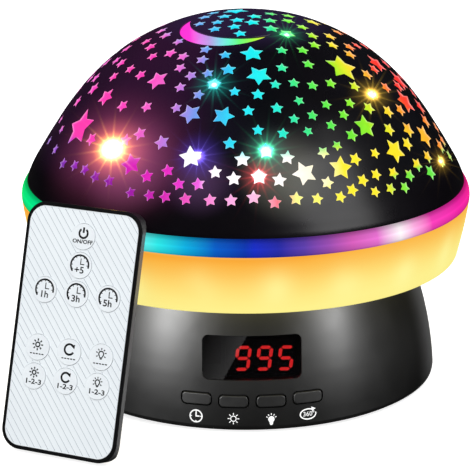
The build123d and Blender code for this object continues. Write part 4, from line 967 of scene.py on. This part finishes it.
bulb = bulb_solid(Art(), 1.0, 0, -0.35)
for t in (-64, -34, 0, 34, 64):
    a = math.radians(90 + t)
    bulb.line([(1.3 * math.cos(a), -0.3 + 1.35 * math.sin(a)), (1.8 * math.cos(a), -0.3 + 1.95 * math.sin(a))], 0.26)
bulb.lay("icon_light", m_white, "lamp", "charcoal_plastic", on_base(5.35, 5.1))
turn = Art()
turn.arc((0, -0.1), 2.6, 58, 330, 0.4, 40, ry=1.65)
turn.line([(2.25, -0.95), (2.62, -0.2), (2.5, 0.35)], 0.36)
turn.poly([(1.1, 2.2), (1.35, 0.75), (2.6, 1.5)])
turn.text("360", -0.15, -0.12, 1.5, 1.0)
turn.arc((1.75, 0.55), 0.24, 0, 360, 0.16, 13)
turn.lay("icon_rotation", m_white, "lamp", "charcoal_plastic", on_base(16.05, 5.6))

# ---------------------------------------------------------------- digits
SEG_T, DW, DH = 1.08, 4.95, 8.45
m_lit = Mat("segment_lit", Roughness=0.35)
m_lit.base((0.5, 0.01, 0.01, 1))
seg_noise = m_lit.maprange(m_lit.noise(900.0, 2.0), 0.3, 0.7, 0.0, 0.5)
m_lit.glow(m_lit.mix(seg_noise, (1.0, 0.02, 0.025, 1), (1.0, 0.05, 0.045, 1)), 6.0)
m_unlit = Mat("segment_unlit", Roughness=0.4)
m_unlit.base(m_unlit.ramp(m_unlit.noise(900.0, 2.0), [(0.3, (0.035, 0.012, 0.012, 1)), (0.7, (0.05, 0.02, 0.018, 1))]))
lit, unlit = Art(), Art()


def segment(art, x0, a, b):
    """A six-sided bar from a to b on a digit whose top left corner is x0."""
    a, b = np.array(a, float), np.array(b, float)
    d = (b - a) / np.linalg.norm(b - a)
    n = np.array([-d[1], d[0]]) * SEG_T / 2
    g, e = 0.22, SEG_T / 2
    pts = [a + d * g, a + d * (g + e) + n, b - d * (g + e) + n, b - d * g, b - d * (g + e) - n, a + d * (g + e) - n]
    art.poly([(x0 + p[0] - 0.95 * (1 - p[1] / DH), p[1]) for p in pts][::-1])


h = SEG_T / 2
L, R, B, M, T = h, DW - h, h, DH / 2, DH - h
SEGS = {"A": ((L, T), (R, T)), "B": ((R, M), (R, T)), "C": ((R, B), (R, M)), "D": ((L, B), (R, B)),
        "E": ((L, B), (L, M)), "F": ((L, M), (L, T)), "G": ((L, M), (R, M))}
for x0, on in ((-4.71, "ABCDFG"), (2.1, "ABCDFG"), (8.92, "ACDFG")):
    for key, (a, b) in SEGS.items():
        segment(lit if key in on else unlit, x0, a, b)
for art, mat, name in ((lit, m_lit, "segments_lit"), (unlit, m_unlit, "segments_unlit")):
    art.lay(name, mat, "lamp", "display_face",
            lambda x, y: (x * MM, -54.33 * MM, (17.5 + y) * MM), 0.03)

# ---------------------------------------------------------------- prints on the remote
R_YAW, R_LEAN = math.radians(-25.78), math.radians(17.65)
RO = np.array([-61.01, -83.64, 5.2 * math.sin(R_LEAN)])
RX = np.array([math.cos(R_YAW), math.sin(R_YAW), 0.0])
RZ = np.array([math.sin(R_YAW) * math.cos(R_LEAN), -math.cos(R_YAW) * math.cos(R_LEAN), math.sin(R_LEAN)])
RY = np.cross(RZ, RX)


def on_remote(cx, cy, cz):
    def place(x, y):
        return tuple((RO + RX * (cx + x) + RY * (cy + y) + RZ * cz) * MM)
    return place


KEYS = {"power": (0.3, 67.7), "five_minutes": (0.3, 58.85), "one_hour": (-10.7, 50.0), "three_hours": (0.3, 50.0),
        "five_hours": (11.25, 50.0), "warm_light": (-10.7, 32.15), "rotate": (0.3, 32.15), "colour": (11.25, 32.15),
        "warm_modes": (-10.8, 23.15), "rotate_modes": (0.2, 23.15), "colour_modes": (11.15, 23.15)}
OW, O0, O1, OR = 37.3 / 2 - 0.25, 1.5, 75.5, 5.0


def in_overlay(x, y):
    if abs(x) > OW or y < O0 or y > O1:
        return False
    cx, cy = OW - OR, (O0 + OR if y < (O0 + O1) / 2 else O1 - OR)
    if abs(x) > cx and (y < O0 + OR or y > O1 - OR):
        return math.hypot(abs(x) - cx, y - cy) < OR
    return True


hair = Art()
hd = np.array([0.626, -0.780])
hn = np.array([0.780, 0.626])
for k in range(-66, 66):
    o = hn * (1.87 * k + 0.6)
    start = None
    ts = np.arange(-110, 110, 0.1)
    for t in ts:
        p = o + hd * t
        ok = in_overlay(p[0], p[1]) and all((p[0] - c[0]) ** 2 + (p[1] - c[1]) ** 2 > 4.3 ** 2 for c in KEYS.values())
        if ok and start is None:
            start = p
        elif not ok and start is not None:
            if np.linalg.norm(p - start) > 0.5:
                hair.line([start, p - hd * 0.1], 0.155)
            start = None
hair.lay("remote_hairlines", m_hair, "remote", "overlay_film", on_remote(0, 0, -0.13), 0.015)


def put(art, key):
    art.lay("icon_" + key, m_dark, "key_" + key, "key_film", on_remote(KEYS[key][0], KEYS[key][1], 0.07), 0.015)


a = Art()
a.arc((0, 1.0), 1.42, 126, 414, 0.62, 40)
a.line([(0, 2.85), (0, 1.15)], 0.64)
a.text("ON/OFF", 0, -1.6, 1.15, 1.16, 0.045)
put(a, "power")
for key, words in (("five_minutes", "+5"), ("one_hour", "1h"), ("three_hours", "3h"), ("five_hours", "5h")):
    a = Art()
    a.arc((0, 0.1), 3.02, -14, 222, 0.54, 60)
    for t in range(0, 211, 30):
        c, q = math.cos(math.radians(t)), math.sin(math.radians(t))
        a.line([(2.4 * c, 0.1 + 2.4 * q), (2.85 * c, 0.1 + 2.85 * q)], 0.26)
    a.line([(0.25, 2.15), (0.25, 0.35), (1.5, 0.35)], 0.3)
    a.text(words, 0, -1.5, 2.0, 1.1, 0.05)
    put(a, key)


def sun_art(a, y, s):
    a.arc((0, y), 0.7 * s, 0, 360, 0.42, 33)
    for k in range(8):
        c, q = math.cos(math.radians(45 * k)), math.sin(math.radians(45 * k))
        a.line([(1.15 * s * c, y + 1.15 * s * q), (1.85 * s * c, y + 1.85 * s * q)], 0.42)


def turn_art(a, y, s):
    a.arc((0, y), 1.6 * s, 42, 332, 0.62, 50)
    e = math.radians(42)
    c = np.array([1.6 * s * math.cos(e), y + 1.6 * s * math.sin(e)])
    a.poly([c + np.array(p) * s for p in ((-0.75, 0.12), (0.62, 0.62), (0.5, -0.78))])


def bulb_art(a, y, s):
    a.arc((0, y + 0.15 * s), 0.84 * s, -55, 235, 0.38, 34)
    a.line([(0.48 * s, y - 0.52 * s), (0.38 * s, y - 1.0 * s), (-0.38 * s, y - 1.0 * s), (-0.48 * s, y - 0.52 * s)], 0.3)
    a.line([(-0.34 * s, y - 1.36 * s), (0.34 * s, y - 1.36 * s)], 0.34)
    for t in (-120, -75, -38, 0, 38, 75, 120):
        c, q = math.cos(math.radians(90 + t)), math.sin(math.radians(90 + t))
        a.line([(1.25 * s * c, y + 0.15 * s + 1.25 * s * q), (1.85 * s * c, y + 0.15 * s + 1.85 * s * q)], 0.32)


for key, fn in (("warm_light", sun_art), ("rotate", turn_art), ("colour", bulb_art)):
    a = Art()
    fn(a, 0.8, 1.0)
    for k in range(5):
        a.line([(-2.35 + 1.0 * k, -2.05), (-1.65 + 1.0 * k, -2.05)], 0.34)
    put(a, key)
for key, fn in (("warm_modes", sun_art), ("rotate_modes", turn_art), ("colour_modes", bulb_art)):
    a = Art()
    fn(a, 1.15, 0.9)
    a.text("1-2-3", 0, -1.75, 1.5, 1.28, 0.05)
    put(a, key)

# ---------------------------------------------------------------- materials of the CAD nodes
m_char = plastic("charcoal_satin", (0.0125, 0.0125, 0.0125, 1), (0.0175, 0.0175, 0.017, 1), 0.37, 0.42,
                 grain=2400.0, bump=0.10, depth=0.00002, blotch=38.0)
# painted shade: the base is darker towards the floor
m_char.base(m_char.mix(m_char.maprange(m_char.xyz()[2], 0.003, 0.021, 0.85, 0.0, "SMOOTHSTEP"),
                       m_char.ramp(m_char.noise(38.0, 4.0), [(0.3, (0.0125, 0.0125, 0.0125, 1)), (0.7, (0.0175, 0.0175, 0.017, 1))]),
                       (0.003, 0.003, 0.003, 1)))
m_button = plastic("button_satin", (0.0065, 0.0065, 0.0064, 1), (0.0095, 0.0095, 0.0093, 1), 0.46, 0.54,
                   grain=2600.0, bump=0.10, depth=0.00002, blotch=90.0)
m_rubber = plastic("soft_rubber", (0.006, 0.006, 0.006, 1), (0.012, 0.012, 0.012, 1), 0.72, 0.85, grain=1400.0, bump=0.3)
m_steel = metal("zinc_steel", (0.42, 0.42, 0.44, 1), (0.62, 0.62, 0.64, 1), 0.26, 0.4)
m_socket = metal("socket_shell", (0.5, 0.5, 0.52, 1), (0.7, 0.7, 0.72, 1), 0.22, 0.34, brushed=(8, 1, 1))
m_motor = metal("motor_can", (0.38, 0.37, 0.34, 1), (0.56, 0.54, 0.5, 1), 0.3, 0.45, brushed=(1, 1, 10))
m_spring = metal("spring_steel", (0.55, 0.52, 0.42, 1), (0.75, 0.7, 0.58, 1), 0.2, 0.34)
m_cell = metal("cell_steel", (0.6, 0.6, 0.62, 1), (0.78, 0.78, 0.8, 1), 0.2, 0.3, brushed=(12, 1, 12))
m_board_g = plastic("board_green", (0.006, 0.05, 0.02, 1), (0.012, 0.085, 0.035, 1), 0.3, 0.42, grain=700.0, blotch=260.0)
m_board_w = plastic("board_white", (0.62, 0.63, 0.62, 1), (0.74, 0.75, 0.74, 1), 0.34, 0.46, grain=700.0, blotch=200.0)
m_comp = plastic("component_black", (0.01, 0.01, 0.011, 1), (0.03, 0.03, 0.032, 1), 0.4, 0.55, grain=1500.0, blotch=400.0)
m_disp = plastic("display_black", (0.0025, 0.0022, 0.0025, 1), (0.004, 0.0036, 0.004, 1), 0.5, 0.6, grain=1200.0, blotch=150.0)
m_inner = plastic("inner_white", (0.72, 0.72, 0.71, 1), (0.8, 0.8, 0.79, 1), 0.45, 0.58, grain=700.0, blotch=50.0)
m_nylon = plastic("gear_nylon", (0.66, 0.65, 0.6, 1), (0.76, 0.75, 0.7, 1), 0.36, 0.48, grain=900.0, blotch=120.0,
                  Subsurface_Weight=0.1)
m_wire = plastic("wire_sleeve", (0.02, 0.02, 0.022, 1), (0.035, 0.035, 0.038, 1), 0.5, 0.62, grain=1500.0, blotch=300.0)
m_case = plastic("remote_black", (0.0045, 0.0045, 0.005, 1), (0.0085, 0.0085, 0.009, 1), 0.3, 0.38, grain=1800.0,
                 bump=0.08, depth=0.00002, blotch=60.0)
m_film = plastic("overlay_film", lin(236, 242, 246), lin(241, 247, 250), 0.4, 0.48, grain=1600.0, bump=0.04,
                 depth=0.00002, blotch=45.0)
m_key = plastic("key_film", lin(235, 240, 244), lin(240, 246, 249), 0.36, 0.44, grain=1600.0, bump=0.05,
                depth=0.00002, blotch=300.0)
m_ir = Mat("ir_epoxy", Roughness=0.12)
m_ir.base(m_ir.ramp(m_ir.noise(500.0, 2.0), [(0.3, (0.02, 0.008, 0.02, 1)), (0.7, (0.035, 0.014, 0.034, 1))]))
m_ir.bump(m_ir.noise(1200.0, 2.0), 0.05, 0.00002)
m_ir.p.inputs["Transmission Weight"].default_value = 0.4

m_lens = Mat("smoked_lens", IOR=1.5)
m_lens.base(m_lens.ramp(m_lens.noise(120.0, 2.0), [(0.3, (0.0016, 0.0014, 0.0018, 1)), (0.7, (0.0026, 0.0022, 0.0028, 1))]))
lx, ly, lz = m_lens.xyz()
lr = m_lens.math("SQRT", m_lens.math("ADD", m_lens.math("MULTIPLY", lx, lx), m_lens.math("MULTIPLY", ly, ly)))
lout = m_lens.math("SUBTRACT", 0.0645, m_lens.math("ADD", m_lens.math("MULTIPLY", lz, 0.0416), m_lens.math("MULTIPLY", m_lens.math("MULTIPLY", lz, lz), 4.56)))
inner = m_lens.maprange(m_lens.math("SUBTRACT", lout, lr), 0.0006, 0.0009, 0.0, 1.0)
m_lens.rough(m_lens.math("ADD", m_lens.maprange(m_lens.noise(300.0, 3.0), 0.3, 0.7, 0.015, 0.04), m_lens.math("MULTIPLY", inner, 0.85)))
m_lens.bump(m_lens.noise(90.0, 2.0), 0.02, 0.00003)
m_lens.p.inputs["Alpha"].default_value = 0.7

m_led = Mat("led_package", Roughness=0.35)
lf = m_led.noise(800.0, 2.0)
m_led.base(m_led.ramp(lf, [(0.3, (0.75, 0.72, 0.5, 1)), (0.7, (0.85, 0.84, 0.7, 1))]))
m_led.glow(m_led.ramp(lf, [(0.3, (1.0, 0.85, 0.45, 1)), (0.7, (1.0, 0.92, 0.6, 1))]), 0.8)

m_liner = Mat("liner_opal", Roughness=0.4)
lc = star_colour(m_liner, 0.25)
m_liner.base(m_liner.mix(0.75, lc, (0.75, 0.75, 0.75, 1)))
m_liner.rough(m_liner.maprange(m_liner.noise(200.0, 3.0), 0.3, 0.7, 0.36, 0.46))
m_liner.glow(lc, 0.5)
m_liner.bump(m_liner.noise(700.0, 2.0), 0.1, 0.00003)

# warm ring: amber at the top, pale yellow low down, brighter in front of each LED
m_warm = Mat("warm_ring_lit", Roughness=0.34)
wz = m_warm.maprange(m_warm.xyz()[2], 0.0430, 0.0618)
waz = m_warm.azimuth()
wave = m_warm.math("COSINE", m_warm.math("MULTIPLY", m_warm.math("SUBTRACT", waz, math.radians(5.3)), 20.0))
spot_a = m_warm.math("EXPONENT", m_warm.math("MULTIPLY", m_warm.math("SUBTRACT", wave, 1.0), 0.9))
dzw = m_warm.math("DIVIDE", m_warm.math("SUBTRACT", wz, 0.36), 0.34)
spot_z = m_warm.math("EXPONENT", m_warm.math("MULTIPLY", m_warm.math("MULTIPLY", dzw, dzw), -1.0))
drift = m_warm.maprange(m_warm.noise(24.0, 2.0), 0.38, 0.62, 0.25, 1.0)
spot = m_warm.math("MULTIPLY", m_warm.math("MULTIPLY", spot_a, spot_z), m_warm.math("MULTIPLY", drift, 0.9))
wzz = m_warm.math("SUBTRACT", wz, m_warm.maprange(m_warm.xyz()[0], 0.003, 0.042, 0.0, 0.18, "SMOOTHSTEP"))
wcol = m_warm.ramp(wzz, [(0.0, lin(254, 240, 140)), (0.2, lin(254, 232, 130)), (0.42, lin(254, 216, 110)),
                         (0.66, lin(252, 195, 86)), (0.84, lin(251, 181, 66)), (0.95, lin(248, 167, 50)),
                         (1.0, lin(250, 176, 76))])
wcol = m_warm.mix(spot, wcol, lin(255, 248, 158))
m_warm.base(m_warm.mix(0.9, wcol, (0, 0, 0, 1)))
m_warm.glow(wcol, 0.95)
m_warm.rough(m_warm.maprange(m_warm.noise(90.0, 3.0), 0.3, 0.7, 0.3, 0.38))
m_warm.bump(m_warm.noise(1800.0, 2.0), 0.05, 0.00002)

# rainbow ring: colour by turn about Z; the pale stops at -29 and 38 degrees are painted highlights
RAINBOW_AND_PAINTED_HIGHLIGHTS = [(-180, (170, 235, 40)), (-150, (90, 230, 40)), (-110, (20, 225, 80)), (-80, (0, 230, 120)),
           (-55, (0, 226, 150)), (-35, (30, 224, 206)), (-29, (112, 242, 238)), (-23, (44, 224, 224)), (-16, (10, 168, 216)),
           (-9, (8, 90, 192)), (-2, (14, 54, 172)), (6, (40, 44, 162)), (12, (92, 62, 166)), (18, (150, 76, 172)),
           (24, (208, 92, 182)), (31, (228, 112, 206)), (38, (255, 244, 250)), (43, (250, 170, 222)),
           (50, (242, 62, 182)), (65, (240, 36, 166)), (85, (246, 32, 140)), (110, (250, 42, 60)),
           (135, (255, 124, 30)), (160, (250, 206, 40)), (180, (170, 235, 40))]
m_rain = Mat("rainbow_ring_lit", Roughness=0.2)
ra = m_rain.maprange(m_rain.azimuth(), -math.pi, math.pi)
half_1 = [(k, c) for k, c in RAINBOW_AND_PAINTED_HIGHLIGHTS if k <= 0] + [(0, (26, 46, 192))]
half_2 = [(0, (26, 46, 192))] + [(k, c) for k, c in RAINBOW_AND_PAINTED_HIGHLIGHTS if k > 0]
r1 = m_rain.ramp(m_rain.math("MULTIPLY", ra, 2.0, clamp=True), [((k + 180) / 180, lin(*c)) for k, c in half_1])
r2 = m_rain.ramp(m_rain.math("SUBTRACT", m_rain.math("MULTIPLY", ra, 2.0), 1.0, clamp=True),
                 [(k / 180, lin(*c)) for k, c in half_2])
rcol = m_rain.mix(m_rain.math("GREATER_THAN", ra, 0.5), r1, r2)
rz = m_rain.maprange(m_rain.xyz()[2], 0.0618, 0.0668)
# painted shade and a painted highlight: darker top and bottom edges and a bright stripe near the middle, as on a lit
# tube
prof = m_rain.ramp(rz, [(0.0, (0.5, 0.5, 0.5, 1)), (0.14, (0.82, 0.82, 0.82, 1)), (0.4, (1, 1, 1, 1)), (0.52, (1.12, 1.12, 1.12, 1)),
                        (0.62, (0.98, 0.98, 0.98, 1)), (0.82, (0.9, 0.9, 0.9, 1)), (1.0, (0.5, 0.5, 0.5, 1))])
rcol2 = m_rain.mix(1.0, rcol, prof, "MULTIPLY")
m_rain.base(m_rain.mix(0.92, rcol, (0, 0, 0, 1)))
m_rain.glow(rcol2, 0.98)
m_rain.rough(m_rain.maprange(m_rain.noise(140.0, 3.0), 0.3, 0.7, 0.14, 0.22))
m_rain.bump(m_rain.noise(500.0, 2.0), 0.04, 0.00002)

BY_NODE = {
    "base_housing": m_char, "base_plate": m_char, "rubber_foot_ring": m_rubber, "base_screws": m_steel,
    "chassis_screws": m_steel, "dome_screws": m_steel, "motor_shaft": m_steel, "display_window": m_lens,
    "display_module": m_disp, "ir_receiver": m_ir, "infrared_led": m_ir, "control_board": m_board_g,
    "main_board": m_board_g, "remote_board": m_board_g, "tact_switches": m_comp, "board_components": m_comp,
    "usb_socket": m_socket, "warm_diffuser_ring": m_warm, "ring_reflector": m_inner, "deck": m_inner,
    "warm_led_strip": m_board_w, "rgb_led_board": m_board_w, "star_led_board": m_board_w, "warm_leds": m_led,
    "rgb_leds": m_led, "star_leds": m_led, "rainbow_light_ring": m_rain, "gear_motor": m_motor,
    "light_cable": m_wire, "thrust_washer": m_nylon, "turntable_retainer": m_nylon, "turntable": m_nylon,
    "drive_pinion": m_nylon, "dome_liner": m_liner, "timer_button": m_button, "brightness_button": m_button,
    "light_button": m_button, "rotation_button": m_button, "remote_back_shell": m_case,
    "remote_front_shell": m_case, "battery_tray": m_case, "remote_overlay": m_film, "snap_domes": m_spring,
    "battery_contacts": m_spring, "coin_cell": m_cell}
for name in nodes:
    if name.startswith("key_"):
        give(name, m_key)
    elif name != "star_dome":
        give(name, BY_NODE[name])

# ---------------------------------------------------------------- floor, light and camera


def path_mix(t, link, cam, glossy, rest):
    lp = t.nodes.new("ShaderNodeLightPath")
    m1, m2 = t.nodes.new("ShaderNodeMixShader"), t.nodes.new("ShaderNodeMixShader")
    link(lp.outputs["Is Glossy Ray"], m1.inputs[0])
    link(rest, m1.inputs[1])
    link(glossy, m1.inputs[2])
    link(lp.outputs["Is Camera Ray"], m2.inputs[0])
    link(m1.outputs[0], m2.inputs[1])
    link(cam, m2.inputs[2])
    return m2.outputs[0]


world = bpy.data.worlds.new("studio")
scene.world = world
world.use_nodes = True
wt = world.node_tree
wt.nodes.clear()
bgs = []
for col, k in (((1, 1, 1, 1), 1.1), ((0.8, 0.75, 1.0, 1), 0.006), ((0.97, 0.98, 1.0, 1), 0.5)):
    b = wt.nodes.new("ShaderNodeBackground")
    b.inputs[0].default_value, b.inputs[1].default_value = col, k
    bgs.append(b.outputs[0])
wo = wt.nodes.new("ShaderNodeOutputWorld")
wt.links.new(path_mix(wt, wt.links.new, *bgs), wo.inputs[0])

fm = bpy.data.materials.new("floor_pale")
fm.use_nodes = True
ft = fm.node_tree
ft.nodes.clear()
diff = ft.nodes.new("ShaderNodeBsdfDiffuse")
diff.inputs[0].default_value = (0.82, 0.82, 0.82, 1)
em = ft.nodes.new("ShaderNodeEmission")
em.inputs[0].default_value, em.inputs[1].default_value = (1, 1, 1, 1), 0.80
add = ft.nodes.new("ShaderNodeAddShader")
ft.links.new(diff.outputs[0], add.inputs[0])
ft.links.new(em.outputs[0], add.inputs[1])
dark = ft.nodes.new("ShaderNodeEmission")
dark.inputs[0].default_value, dark.inputs[1].default_value = (1, 1, 1, 1), 0.013
soft = ft.nodes.new("ShaderNodeBsdfDiffuse")
soft.inputs[0].default_value = (0.35, 0.35, 0.35, 1)
fo = ft.nodes.new("ShaderNodeOutputMaterial")
ft.links.new(path_mix(ft, ft.links.new, add.outputs[0], dark.outputs[0], soft.outputs[0]), fo.inputs[0])
S = 6.0
fmesh = bpy.data.meshes.new("floor")
F = -0.00005     # a hair under the feet, so the foot ring and the floor don't share a plane
fmesh.from_pydata([(-S, -S, F), (S, -S, F), (S, S, F), (-S, S, F)], [], [(0, 1, 2, 3)])
fmesh.materials.append(fm)
floor = bpy.data.objects.new("floor", fmesh)
scene.collection.objects.link(floor)


def softbox(name, az, el, dist, w, h, power, colour=(1, 1, 1), glossy=True, diffuse=True, at=(0, 0, 0.04), roll=0.0):
    d = bpy.data.lights.new(name, "AREA")
    d.shape, d.size, d.size_y, d.energy, d.color = "RECTANGLE", w, h, power, colour
    o = bpy.data.objects.new(name, d)
    a, e = math.radians(az), math.radians(el)
    v = Vector((math.sin(a) * math.cos(e), -math.cos(a) * math.cos(e), math.sin(e)))
    o.location = Vector(at) + v * dist
    o.rotation_euler = (v.to_track_quat("Z", "Y").to_matrix() @ Matrix.Rotation(math.radians(roll), 3, "Z")).to_euler()
    o.visible_camera = False
    o.visible_glossy = glossy
    o.visible_diffuse = diffuse
    o.visible_transmission = False
    scene.collection.objects.link(o)
    return o


softbox("overhead", 20, 78, 1.1, 1.6, 1.6, 11.0, glossy=False)
softbox("front_fill", -18, 34, 1.2, 0.9, 0.9, 5.3, glossy=False)


def only_for(light, names, blockers=None):
    """The light reaches only these objects, and only blockers stand in its way."""
    c = bpy.data.collections.new(light.name + "_on")
    for n in names:
        c.objects.link(nodes[n] if isinstance(n, str) else n)
    light.light_linking.receiver_collection = c
    if blockers is not None:
        c = bpy.data.collections.new(light.name + "_past")
        for n in blockers:
            c.objects.link(nodes[n] if isinstance(n, str) else n)
        light.light_linking.blocker_collection = c


LOWER = ["base_housing", "base_plate", "timer_button", "brightness_button", "light_button", "rotation_button"]
CASE = ["remote_back_shell", "remote_front_shell", "battery_tray"]
left = softbox("side_left", -52, 21, 0.7, 0.12, 0.3, 9.6, diffuse=False)
only_for(left, LOWER, LOWER)
right = softbox("side_right", 54.5, 20, 0.7, 0.1, 0.36, 5.0, diffuse=False)
only_for(right, LOWER, LOWER)
rim = softbox("rim_right", 150, -12, 0.8, 0.16, 0.4, 1.6, diffuse=False)
only_for(rim, LOWER, LOWER)
case_side = softbox("case_side", 127, -20, 0.8, 0.6, 0.6, 14.5, diffuse=False)
only_for(case_side, CASE, CASE)
sheen = softbox("dome_sheen", 49, 32, 0.9, 0.52, 0.5, 3.5, diffuse=False)
only_for(sheen, [dome], [dome])

# a card that shows in the window only: bright at its leaning right edge, fading to the left
card_m = bpy.data.materials.new("card_fade")
card_m.use_nodes = True
kt = card_m.node_tree
kt.nodes.clear()
k_co, k_sep, k_map = kt.nodes.new("ShaderNodeTexCoord"), kt.nodes.new("ShaderNodeSeparateXYZ"), kt.nodes.new("ShaderNodeMapRange")
k_em, k_out = kt.nodes.new("ShaderNodeEmission"), kt.nodes.new("ShaderNodeOutputMaterial")
kt.links.new(k_co.outputs["Object"], k_sep.inputs[0])
kt.links.new(k_sep.outputs[0], k_map.inputs[0])
for i, v in enumerate((-0.06, 0.18, 0.08, 1.0)):
    k_map.inputs[i + 1].default_value = v
k_pow = kt.nodes.new("ShaderNodeMath")
k_pow.operation = "POWER"
k_pow.inputs[1].default_value = 1.7
kt.links.new(k_map.outputs[0], k_pow.inputs[0])
kt.links.new(k_pow.outputs[0], k_em.inputs[1])
kt.links.new(k_em.outputs[0], k_out.inputs[0])
k_me = bpy.data.meshes.new("window_card")
k_me.from_pydata([(-0.18, -0.4, 0), (0.18, -0.4, 0), (0.18, 0.4, 0), (-0.18, 0.4, 0)], [], [(0, 1, 2, 3)])
k_me.materials.append(card_m)
card = bpy.data.objects.new("window_card", k_me)
scene.collection.objects.link(card)
k_az, k_el = math.radians(-22.0), math.radians(19.1)
k_v = Vector((math.sin(k_az) * math.cos(k_el), -math.cos(k_az) * math.cos(k_el), math.sin(k_el)))
card.matrix_world = (Matrix.Translation(Vector((0, -0.055, 0.024)) + k_v * 0.6)
                     @ (k_v.to_track_quat("Z", "Y").to_matrix() @ Matrix.Rotation(math.radians(-39.6), 3, "Z")).to_4x4())
card.visible_camera = card.visible_diffuse = card.visible_shadow = card.visible_transmission = False
only_for(card, ["display_window"])

cam_data = bpy.data.cameras.new("camera")
cam_data.sensor_width, cam_data.lens = 36.0, 158.12
cam_data.clip_start, cam_data.clip_end = 0.05, 50.0
cam = bpy.data.objects.new("camera", cam_data)
c_right = Vector((0.99957994, -0.02896436, -0.00100331))
c_up = Vector((0.00952561, 0.29564618, 0.95525002))
c_fw = Vector((0.02737158, 0.95485832, -0.29579789))
cam.matrix_world = Matrix.Translation((-0.022753, -0.668287, 0.252947)) @ Matrix(
    (c_right, c_up, -c_fw)).transposed().to_4x4()
scene.collection.objects.link(cam)
scene.camera = cam

# ---------------------------------------------------------------- picture: plain view and the sparkle of the LEDs
scene.view_settings.view_transform = "Standard"
scene.view_settings.look = "None"
scene.use_nodes = True
ct = scene.node_tree
ct.nodes.clear()
rl = ct.nodes.new("CompositorNodeRLayers")
comp = ct.nodes.new("CompositorNodeComposite")
streaks = ct.nodes.new("CompositorNodeGlare")
streaks.glare_type, streaks.quality = "STREAKS", "HIGH"
for k, v in (("Threshold", 12.0), ("Smoothness", 0.1), ("Strength", 0.05), ("Saturation", 1.0), ("Streaks", 14),
             ("Streaks Angle", math.radians(8)), ("Iterations", 3), ("Fade", 0.87), ("Color Modulation", 0.05)):
    streaks.inputs[k].default_value = v
halo = ct.nodes.new("CompositorNodeGlare")
halo.glare_type, halo.quality = "FOG_GLOW", "HIGH"
for k, v in (("Threshold", 12.0), ("Smoothness", 0.1), ("Strength", 0.06), ("Saturation", 1.0), ("Size", 0.32)):
    halo.inputs[k].default_value = v
ct.links.new(rl.outputs["Image"], halo.inputs["Image"])
ct.links.new(halo.outputs["Image"], streaks.inputs["Image"])
ct.links.new(streaks.outputs["Image"], comp.inputs["Image"])
